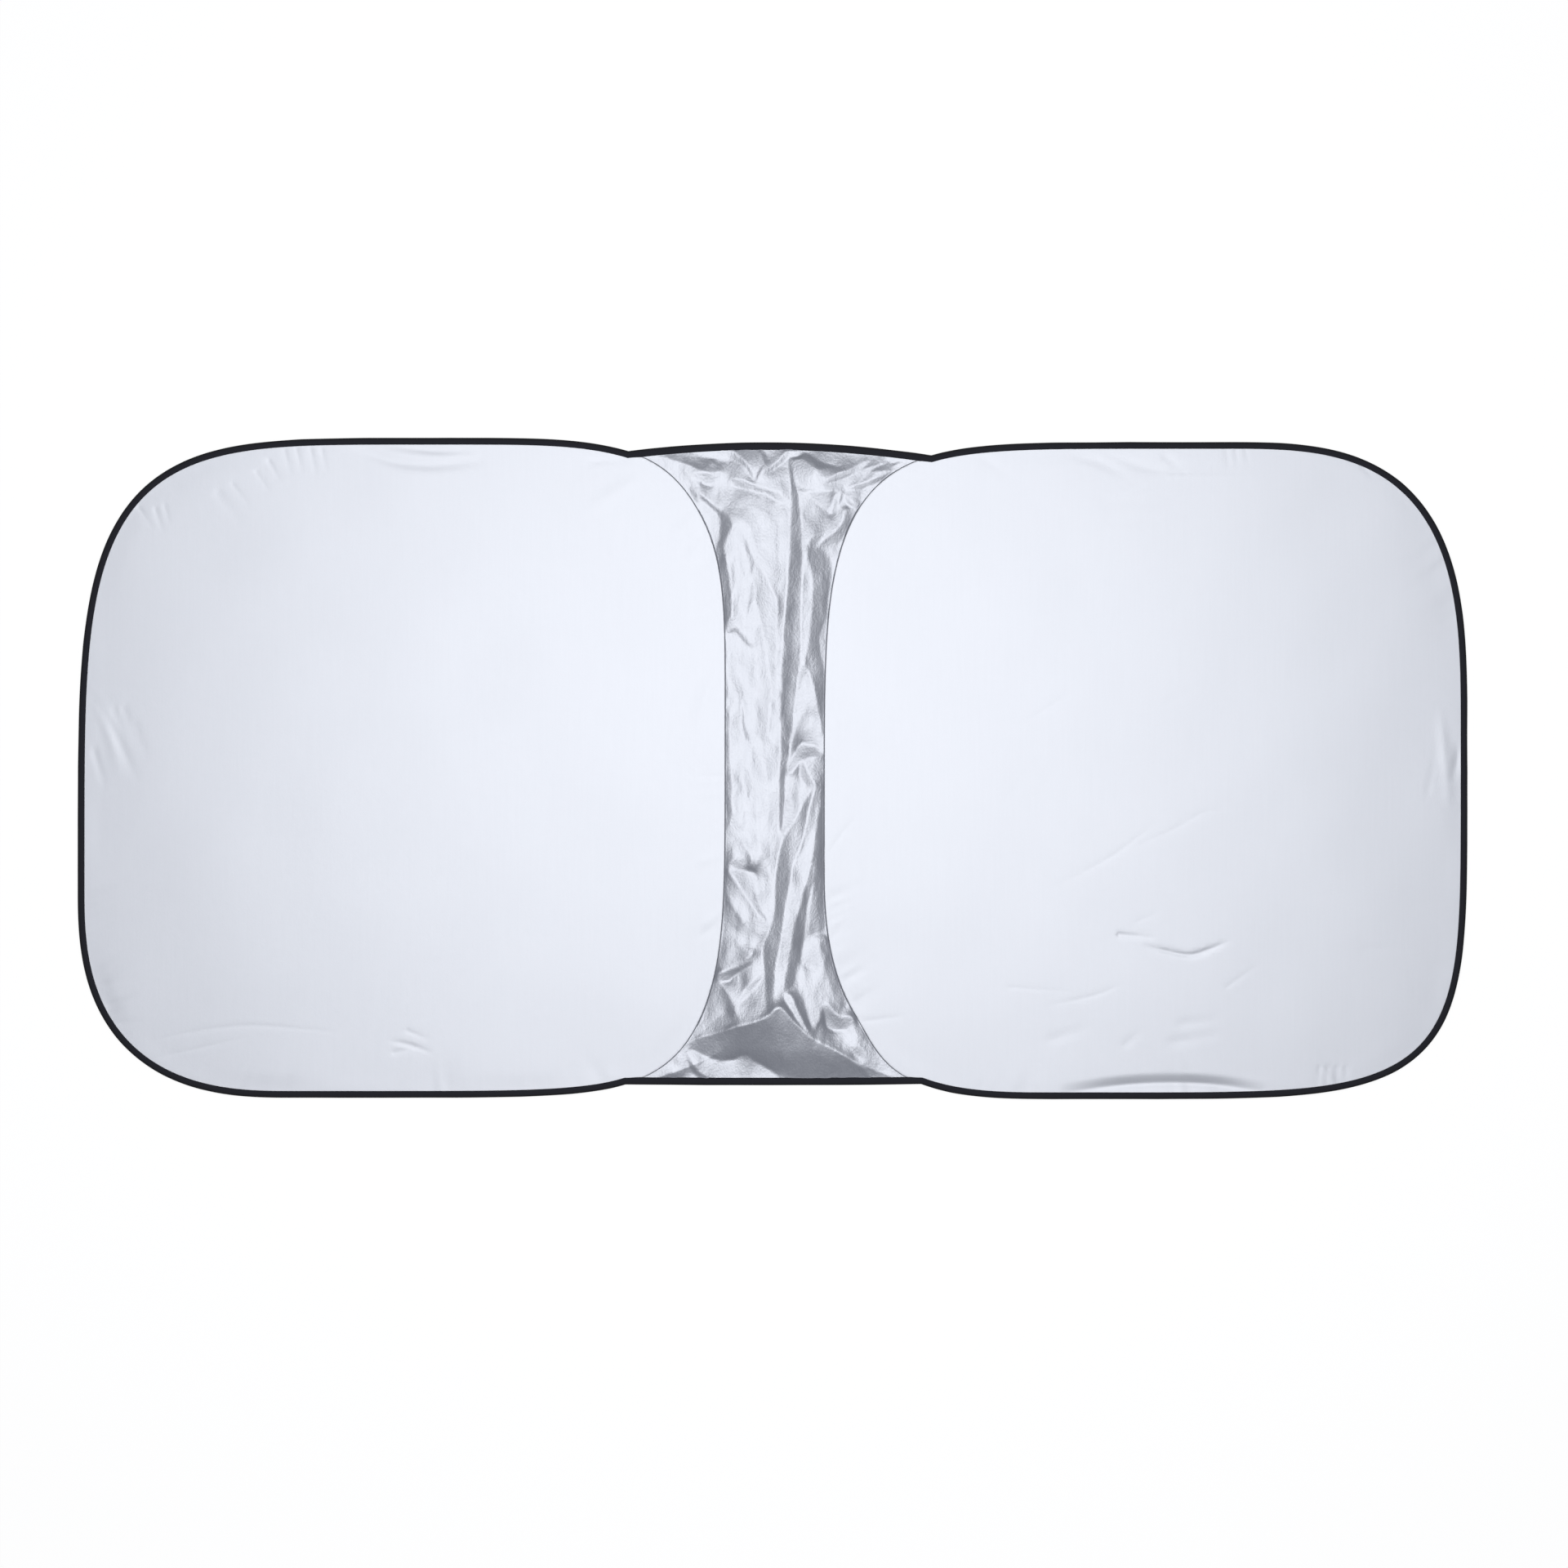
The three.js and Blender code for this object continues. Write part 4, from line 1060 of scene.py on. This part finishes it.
@dataclass(frozen=True)
class WovenTape(Finish):
    """Charcoal binding tape: ribbed across, with shade painted as a darker colour on its outer half,
    which is the back leg and the round fold over the wire.
    """

    name: str
    # outer is painted shade: a darker copy of the tape's colour for its back leg and round fold; inner
    # is the tape's own colour
    outer: Colour
    inner: Colour
    # turn ramps across the tape from the painted shade (0) to the tape's own colour (1)
    turn: tuple[Pair, ...]
    roughness: float = 0.78
    rib_pitch: float = 0.9 * MM
    length: float = 4.4
    bump: float = 0.12 * MM

    def build(self, graph: Graph) -> bpy.types.Material:
        """Ribs across the tape, fluff, and the painted shade on the outer half set against the tape's
        own colour, taken from the share across.
        """
        ribs = graph.threads(self.rib_pitch / self.length, "Y", "UV")
        fluff = graph.noise((900, 900, 900), 3)
        worn = graph.noise((60, 60, 60), 2)
        source = graph.add("ShaderNodeTexCoord", {}, {})
        split = graph.add("ShaderNodeSeparateXYZ", {}, {0: source.outputs["UV"]})
        # Painted shade: the colour turns darker over the back leg and the round fold, where the tape
        # curls round the wire away from the light
        across = graph.stepped(Value(graph, split.outputs[0]) + (worn - 0.5) * 0.05, self.turn)
        tone = across * 0.8 + fluff * 0.3
        inputs = {
            "Base Color": graph.blend(tone, self.outer, self.inner),
            "Roughness": self.roughness + fluff * 0.15,
            "Sheen Weight": 0.25,
            "Sheen Roughness": 0.4,
            "Specular IOR Level": 0.3,
        }
        graph.surface(inputs, ribs * 0.6 + fluff * 0.6, 0.8, self.bump)
        return graph.material


@dataclass(frozen=True)
class SpringSteel(Finish):
    """Bare spring steel with drawing marks and a little dulling."""

    name: str = "spring_steel"
    bright: Colour = colour(0.56, 0.57, 0.6)
    dull: Colour = colour(0.36, 0.36, 0.37)
    bump: float = 0.02 * MM

    def build(self, graph: Graph) -> bpy.types.Material:
        """Drawing marks and clouds of dulling."""
        marks = graph.noise((3000, 3000, 3000), 3)
        clouds = graph.noise((40, 40, 40), 3)
        inputs = {
            "Base Color": graph.blend(clouds, self.dull, self.bright),
            "Roughness": 0.25 + clouds * 0.25,
            "Metallic": 1.0,
        }
        graph.surface(inputs, marks, 0.3, self.bump)
        return graph.material


# The shade's pieces

@dataclass
class Panel:
    """One taut panel: level over its wire all round, rolled down into the seam."""

    hoop: Hoop
    finish: Finish
    flat: Pair
    area: float
    rings: int = 95
    crowding: float = 1.45
    roll_width: float = 1.3 * MM
    roll_drop: float = 0.35 * MM
    waves: Ripples = Ripples(11, (0.09, 0.3), 20, 80)
    wave_height: float = 0.14 * MM
    wave_run: float = 20 * MM
    pulls: Ripples = Ripples(5, (0.035, 0.09), 45, 90)
    pull_patches: Ripples = Ripples(8, (0.4, 0.9), 0, 90)
    patch_gain: float = 0.7
    pull_depth: float = 0.28 * MM
    pull_run: float = 26 * MM
    rim_run: float = 8 * MM
    thin: float = 4.5
    thin_reach: float = 6 * MM

    def places(self, shares: np.ndarray) -> np.ndarray:
        """The grid's points with their levels."""
        spots = self._spots(shares)
        return np.column_stack([spots, self._levels(spots)])

    def _spots(self, shares: np.ndarray) -> np.ndarray:
        """Squares of the grid laid on rings of the hoop's outline."""
        square = shares * 2 - 1
        ring = np.max(np.abs(square), axis=1)
        turn = self._loop_share(square / np.maximum(ring, TINY)[:, None])
        loop = self._rim()
        rim = at_runs(loop, turn * run_lengths(loop)[-1])
        middle = loop.mean(axis=0)
        out = 1 - (1 - ring) ** self.crowding
        return middle + out[:, None] * (rim - middle)

    def _refine(self, shape: bmesh.types.BMesh) -> None:
        """Divides the cells round the thin creases."""
        thin = [fold for fold in PANEL_FOLDS[self.hoop.name] if fold.width < self.thin]
        lines = np.vstack([respace(fold.line()[:, :2] * MM, 3 * MM) for fold in thin])
        shape.verts.index_update()
        shares = np.array([vert.co[:2] for vert in shape.verts]) + 0.5
        near = distance_to(self._spots(shares), lines) < self.thin_reach
        fine = [edge for edge in shape.edges if all(near[vert.index] for vert in edge.verts)]
        bmesh.ops.subdivide_edges(shape, edges=fine, cuts=2, use_grid_fill=True)

    def _rim(self) -> np.ndarray:
        """The panel's rim, from the hoop's lower right corner anticlockwise, closed."""
        corners = self.hoop.corner_turns()
        start = corners[3] - 360
        loop = self.hoop.arc(start, start + 360, 1 * MM)
        inset = loop[:-1] + mitres(loop[:-1], True) * LAYERS.edge_to_cloth
        return np.vstack([inset, inset[:1]])

    def _loop_share(self, square: np.ndarray) -> np.ndarray:
        """Share of the rim's length at points of the square's edge, so that the square's
        corners lie on the hoop's corners."""
        corners = self.hoop.corner_turns()
        turns = [corners[3] - 360, *corners]
        ends = [0.0]
        for start, end in zip(turns[:-1], turns[1:]):
            side = self.hoop.point(np.linspace(start, end, CORNER_POINTS))
            ends.append(ends[-1] + run_lengths(side)[-1])
        ends = np.array(ends) / ends[-1]
        x, y = square[:, 0], square[:, 1]
        on_right = (x >= 1 - TINY) & (np.abs(y) <= 1)
        on_top = (y >= 1 - TINY) & ~on_right
        on_left = (x <= -1 + TINY) & ~on_top
        side = np.select([on_right, on_top, on_left], [0, 1, 2], 3)
        share = np.select([on_right, on_top, on_left], [y, -x, -y], x) / 2 + 0.5
        return ends[side] + share * (ends[side + 1] - ends[side])

    def _levels(self, spots: np.ndarray) -> np.ndarray:
        """The upper face: level, with soft waves, the rolled seam edge and creases."""
        to_rim = distance_to(spots, self._rim()[::2])
        seam = OUTLINE.inner_arc(self.hoop, 2 * MM)
        to_seam = distance_to(spots, seam) - LAYERS.edge_to_cloth
        roll = np.clip(1 - to_seam / self.roll_width, 0, 1) ** 2 * self.roll_drop
        free = smooth((to_rim - LAYERS.binding_width) / self.wave_run)
        waves = self.waves.at(spots) * self.wave_height * free
        puckers = self._puckers(spots, to_rim)
        creases = fold_heights(spots, PANEL_FOLDS[self.hoop.name]) * smooth(to_rim / self.rim_run)
        top = LAYERS.cloth_level + LAYERS.cloth
        return top - roll + waves + puckers + creases

    def _puckers(self, spots: np.ndarray, to_rim: np.ndarray) -> np.ndarray:
        """Small dips that run in from the tape, where its stitches draw the cloth."""
        middle = self._rim().mean(axis=0)
        angle = np.arctan2(spots[:, 1] - middle[1], spots[:, 0] - middle[0])
        round_share = np.column_stack([np.cos(angle), np.sin(angle)])
        patches = smooth(self.pull_patches.at(round_share) * self.patch_gain)
        inwards = np.exp(-((to_rim - self.rim_run) / self.pull_run) ** 2)
        fade = inwards * smooth(to_rim / self.rim_run)
        return -self.pull_depth * np.abs(self.pulls.at(round_share)) * patches * fade

    def build(self) -> None:
        """Adds the panel as a dressed sheet."""
        cells = 2 * self.rings
        shape = grid_shape(cells, cells, self.places, self._refine)
        panel = object_from(f"{self.hoop.name}_panel_cloth", shape)
        give_thickness(panel)
        place_piece(panel, self.finish, [f"{self.hoop.name}_panel"])


@dataclass
class Bridge:
    """The slack cloth between the hoops, creased as it comes out of its bag."""

    finish: Finish
    columns: int = 90
    rows: int = 400
    wide_end: float = 0.13
    relief_run: float = 3 * MM
    tape_relief: float = 9 * MM
    tuck: float = 0.15 * MM
    tuck_run: float = 1 * MM
    crumples: Ripples = Ripples(23, (0.012, 0.045), 8, 40)
    crumple: float = 0.12 * MM
    loft: float = 4.5 * MM
    loft_run: float = 40 * MM
    fall_run: float = 8 * MM
    landing: float = 0.4 * MM

    def _sides(self) -> tuple[np.ndarray, np.ndarray, np.ndarray, np.ndarray]:
        """South, north, west and east edges of the cloth, each from low x or low y."""
        bottom, top = OUTLINE.runs()
        edge = OUTLINE.edge()
        moved = edge + mitres(edge, True) * LAYERS.edge_to_cloth
        south = self._matching(bottom, edge, moved)
        north = self._matching(top, edge, moved)[::-1]
        west = self._seam(LEFT_HOOP)
        east = self._seam(RIGHT_HOOP)[::-1]
        return self._trimmed(south, north, west, east)

    @staticmethod
    def _matching(run: np.ndarray, edge: np.ndarray, moved: np.ndarray) -> np.ndarray:
        """The moved edge's points that belong to a run of the tape."""
        first = int(np.argmin(np.linalg.norm(edge - run[0], axis=1)))
        return moved[(first + np.arange(len(run))) % len(edge)]

    @staticmethod
    def _seam(hoop: Hoop) -> np.ndarray:
        """The cloth's rim along a hoop, anticlockwise on the hoop."""
        arc = OUTLINE.inner_arc(hoop, 1 * MM)
        return arc + mitres(arc, False) * LAYERS.seam_edge

    @staticmethod
    def _trimmed(*sides: np.ndarray) -> tuple:
        """The south, north, west and east sides cut where they meet."""
        fine = [respace(side, 0.5 * MM) for side in sides]
        meets = {}
        for row, column in ((0, 2), (0, 3), (1, 2), (1, 3)):
            gaps = np.linalg.norm(fine[row][:, None] - fine[column][None], axis=2)
            meets[row, column] = np.unravel_index(np.argmin(gaps), gaps.shape)
        cut = []
        for row in (0, 1):
            start, end = meets[row, 2][0], meets[row, 3][0]
            cut.append(fine[row][start:end + 1])
        for column in (2, 3):
            start, end = meets[0, column][1], meets[1, column][1]
            part = fine[column][start:end + 1].copy()
            part[0] = cut[0][0 if column == 2 else -1]
            part[-1] = cut[1][0 if column == 2 else -1]
            cut.append(part)
        return tuple(cut)

    def _refine(self, shape: bmesh.types.BMesh) -> None:
        """Halves the cells of the wide ends across."""
        wide = [
            edge for edge in shape.edges
            if abs(edge.verts[0].co.y - edge.verts[1].co.y) < SAME_SPOT
            and abs(edge.verts[0].co.y) > 0.5 - self.wide_end
        ]
        bmesh.ops.subdivide_edges(shape, edges=wide, cuts=1, use_grid_fill=True)

    def places(self, shares: np.ndarray) -> np.ndarray:
        """The grid on a patch between the four sides, with its folds."""
        south, north, west, east = self._sides()
        u, v = shares[:, :1], shares[:, 1:]

        def on(side: np.ndarray, share: np.ndarray) -> np.ndarray:
            """Places of a side at shares of its length."""
            return at_runs(side, share[:, 0] * run_lengths(side)[-1])

        across = on(west, v) * (1 - u) + on(east, v) * u
        along = on(south, u) * (1 - v) + on(north, u) * v
        low = south[0] * (1 - u) + south[-1] * u
        high = north[0] * (1 - u) + north[-1] * u
        spots = across + along - low * (1 - v) - high * v
        to_seam = distance_to(spots, west[::4], east[::4])
        to_tape = distance_to(spots, south[::4], north[::4])
        rim = np.vstack([south[:-1:16], east[:-1:16], north[:0:-16], west[:0:-16]])
        relief = Relief(BRIDGE_FACETS, rim, np.vstack([south[::4], north[::4]])).at(spots)
        log.info("bridge relief: %.1f to %.1f mm", relief.min() / MM, relief.max() / MM)
        return np.column_stack([spots, self._levels(spots, relief, to_seam, to_tape)])

    def _levels(
        self, spots: np.ndarray, relief: np.ndarray, to_seam: np.ndarray, to_tape: np.ndarray,
    ) -> np.ndarray:
        """The upper face: slack cloth, its relief, fine crumpling and the tucked rim."""
        free = smooth(to_seam / self.relief_run)
        crumple = self.crumples.at(spots) * self.crumple * free * smooth(to_tape / self.tape_relief)
        tuck = np.clip(1 - to_seam / self.tuck_run, 0, 1) * self.tuck
        loft = self.loft * smooth(np.minimum(to_seam, to_tape) / self.loft_run)
        level = cloth_underside(spots) + LAYERS.cloth + loft + relief * free + crumple - tuck
        lowest = LAYERS.cloth + cloth_underside(spots, self.fall_run)
        above = level - lowest
        return lowest + (above + np.sqrt(above ** 2 + self.landing ** 2)) / 2

    def build(self) -> None:
        """Adds the bridge as a dressed sheet."""
        shape = grid_shape(self.columns, self.rows, self.places, self._refine)
        bridge = object_from("bridge_cloth", shape)
        give_thickness(bridge)
        place_piece(bridge, self.finish, ["bridge_panel"])


@dataclass
class Binding:
    """The edge tape, folded round the rim and sewn through the cloth."""

    finish: Finish
    open_run: float = 40 * MM
    fold_round: float = 1.5 * MM
    crown: float = 0.12 * MM
    wander: float = 0.15 * MM
    wanderings: Ripples = Ripples(3, (0.05, 0.4), 0, 5)
    bridge_spread: float = 0.8 * MM
    spread_run: float = 15 * MM

    def _sections(self, path: np.ndarray, steps: np.ndarray) -> np.ndarray:
        """The tape's section at each place of the edge, as (distance inwards, height)."""
        arcs = [OUTLINE.outer_arc(hoop) for hoop in (LEFT_HOOP, RIGHT_HOOP)]
        from_hoops = distance_to(path, *arcs)
        from_parting = distance_to(path, *[arc[[0, -1]] for arc in arcs])
        open_share = np.where(from_hoops < SAME_SPOT, smooth(from_parting / self.open_run), 0)
        mouth = open_share * LAYERS.sewn_leg
        width, tape = LAYERS.binding_width, LAYERS.tape
        channel_end = LAYERS.edge_to_wire + LAYERS.channel_half

        def front(inwards: float) -> np.ndarray:
            """Underside of the front leg."""
            return cloth_underside(path + steps * inwards) + LAYERS.cloth + LAYERS.gap

        fold, mid, end = front(tape), front(width / 2), front(width)
        bend = self.fold_round
        flat = np.zeros(len(path))
        arc = [math.radians(angle) for angle in (0, 22.5, 45, 67.5, 90)]
        lower = [(bend * (1 - math.sin(a)), bend * (1 - math.cos(a)) + flat) for a in arc]
        upper = [(bend * (1 - math.cos(a)), fold + tape - bend * (1 - math.sin(a))) for a in arc]
        rows = [
            (width, mouth + tape),
            (width, mouth),
            (channel_end, flat),
            *lower,
            *upper,
            (width * 0.45, mid + tape + self.crown),
            (width * 0.8, (mid + end) / 2 + tape + self.crown),
            (width, end + tape * 0.8),
            (width, end),
            (width / 2, mid),
            (tape, fold),
            (tape, tape + flat),
            (channel_end, tape + flat),
        ]
        section = np.empty((len(path), len(rows), 2))
        for k, (inwards, height) in enumerate(rows):
            section[:, k, 0] = inwards
            section[:, k, 1] = height
        lip = slice(-7, -3)
        section[:, lip, 0] += (self.bridge_spread * smooth(from_hoops / self.spread_run))[:, None]
        return section

    def build(self) -> None:
        """Adds the tape as one closed band."""
        path = OUTLINE.edge()
        steps = mitres(path, True)
        sections = self._sections(path, steps)
        run = run_lengths(np.vstack([path, path[:1]]))[:-1]
        wander = self.wanderings.at(np.column_stack([run, 0 * run])) * self.wander
        fold = slice(3, 13)
        sections[:, fold, 0] += np.abs(wander)[:, None]
        tape = object_from("edge_binding_tape", tube_shape(path, steps, sections, True))
        place_piece(tape, self.finish, ["edge_binding"])


@dataclass
class Casing:
    """Tape sewn on the back over an inner arc, with the wire in its channel."""

    hoop: Hoop
    finish: Finish

    def build(self) -> None:
        """Adds the casing as one closed band with a rounded channel."""
        arc = OUTLINE.inner_arc(self.hoop, 4 * MM)
        steps = mitres(arc, False)
        wire = arc + steps * LAYERS.edge_to_wire
        outer_half = LAYERS.channel_half + LAYERS.tape
        clear = LAYERS.binding_width + outer_half + LAYERS.gap
        kept = distance_to(wire, respace(OUTLINE.edge(), 1 * MM)) > clear
        arc, steps = arc[kept], steps[kept]
        half, flange, tape = LAYERS.casing_width / 2, LAYERS.sewn_leg, LAYERS.tape
        inner_half = LAYERS.channel_half
        bow = [math.radians(angle) for angle in range(0, 181, 30)]
        outside = [(-outer_half * math.cos(a), flange * (1 - math.sin(a))) for a in bow]
        inside = [(inner_half * math.cos(a), flange + tape - flange * math.sin(a)) for a in bow]
        section = [
            (-half, flange), *outside, (half, flange),
            (half, flange + tape), *inside, (-half, flange + tape),
        ]
        rows = np.array([(LAYERS.edge_to_wire + across, height) for across, height in section])
        sections = np.repeat(rows[None], len(arc), axis=0)
        casing = object_from(f"{self.hoop.name}_casing_tape", tube_shape(arc, steps, sections, False))
        place_piece(casing, self.finish, [f"{self.hoop.name}_casing"])


def dress_wires(finish: Finish) -> None:
    """Gives the hoops and their crimp sleeves their steel."""
    for side in ("left", "right"):
        for part in ("hoop", "ferrule"):
            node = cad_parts[f"{side}_{part}"]
            node.data.materials.clear()
            node.data.materials.append(finish.material())


# The studio

@dataclass
class Studio:
    """Camera, floor, and a broad soft light above the shade with a weak one round it."""

    aim: Pair = (0.0123, -0.0167)
    camera_height: float = 5.0
    view_width: float = 1.691
    sensor: float = 36.0
    lamp_place: Triple = (0.0, 0.21, 2.0)
    lamp_size: Pair = (2.0, 1.75)
    lamp_power: float = 26.0
    fill_place: Triple = (0.0, 0.1, 2.3)
    fill_size: Pair = (3.3, 3.3)
    fill_power: float = 17.0
    room: Colour = colour(0.172, 0.181, 0.214)
    floor_size: float = 40.0
    floor_grey: float = 0.8
    floor_glow: float = 1.07
    glow_share: float = 0.85

    def camera(self) -> None:
        """Looks straight down, with +Y up in the picture."""
        lens = bpy.data.cameras.new("camera")
        lens.sensor_width = self.sensor
        lens.lens = self.sensor * self.camera_height / self.view_width
        camera = new_object("camera", lens)
        camera.location = (*self.aim, self.camera_height)
        bpy.context.scene.camera = camera

    @staticmethod
    def _lamp(name: str, place: Sequence[float], size: Sequence[float], power: float) -> None:
        """A rectangular lamp that shines straight down."""
        lamp = bpy.data.lights.new(name, "AREA")
        lamp.shape = "RECTANGLE"
        lamp.size, lamp.size_y = size
        lamp.energy = power
        holder = new_object(name, lamp)
        holder.location = place
        holder.visible_camera = False

    def light(self) -> None:
        """The two lamps and the plain grey room round them."""
        self._lamp("lamp", self.lamp_place, self.lamp_size, self.lamp_power)
        self._lamp("fill", self.fill_place, self.fill_size, self.fill_power)
        world = bpy.data.worlds.new("room")
        world.use_nodes = True
        background = world.node_tree.nodes["Background"]
        background.inputs["Color"].default_value = self.room
        background.inputs["Strength"].default_value = 1.0
        bpy.context.scene.world = world

    def floor(self) -> None:
        """A white floor that keeps a faint shadow."""
        shape = bmesh.new()
        bmesh.ops.create_grid(shape, x_segments=1, y_segments=1, size=self.floor_size / 2)
        floor = object_from("floor", shape)
        graph = Graph("floor")
        path = graph.add("ShaderNodeLightPath", {}, {})
        camera, glossy, through = [
            Value(graph, path.outputs[f"Is {ray} Ray"]) for ray in ("Camera", "Glossy", "Transmission")
        ]
        seen = camera + glossy + through
        grey = colour(self.floor_grey, self.floor_grey, self.floor_grey)
        paper = graph.add("ShaderNodeBsdfDiffuse", {}, {"Color": grey})
        light = {"Color": colour(1, 1, 1), "Strength": self.floor_glow}
        glow = graph.add("ShaderNodeEmission", {}, light)
        parts = {0: seen * self.glow_share, 1: paper.outputs[0], 2: glow.outputs[0]}
        mixed = graph.add("ShaderNodeMixShader", {}, parts)
        graph.add("ShaderNodeOutputMaterial", {}, {"Surface": mixed.outputs[0]})
        floor.data.materials.append(graph.material)


def main() -> None:
    """Builds the studio, then the shade's pieces in order."""
    logging.basicConfig(level=logging.INFO, format="%(name)s: %(message)s")
    bpy.context.scene.view_settings.view_transform = "Standard"
    studio = Studio()
    studio.camera()
    studio.light()
    studio.floor()

    panel_cloth = SilverCloth(
        "panel_silver", colour(0.595, 0.612, 0.652), colour(0.575, 0.592, 0.632),
        metallic=0.5, roughness=0.4, crinkle=0.03, grain=0.03,
    )
    bridge_cloth = SilverCloth(
        "bridge_silver", colour(0.496, 0.511, 0.55), colour(0.443, 0.458, 0.497),
        metallic=0.66, roughness=0.37, crinkle=0.6, grain=0.26,
    )
    # The edge tape's outer colour is painted shade on its round fold; the casing tape's turn keeps it
    # at its own inner colour throughout
    edge_tape = WovenTape(
        "edge_charcoal_painted_shade", colour(0.005, 0.005, 0.006), colour(0.012, 0.0125, 0.018),
        turn=((0.55, 0), (0.62, 1), (1, 1)),
    )
    casing_tape = WovenTape(
        "casing_charcoal", colour(0.012, 0.012, 0.015), colour(0.02, 0.021, 0.028),
        turn=((0, 1), (1, 1)),
    )

    Panel(LEFT_HOOP, panel_cloth, (0.697, 0.710), 0.460).build()
    Panel(RIGHT_HOOP, panel_cloth, (0.692, 0.707), 0.455).build()
    Bridge(bridge_cloth).build()
    Binding(edge_tape).build()
    for hoop in (LEFT_HOOP, RIGHT_HOOP):
        Casing(hoop, casing_tape).build()
    dress_wires(SpringSteel())


if __name__ == "__main__":
    main()
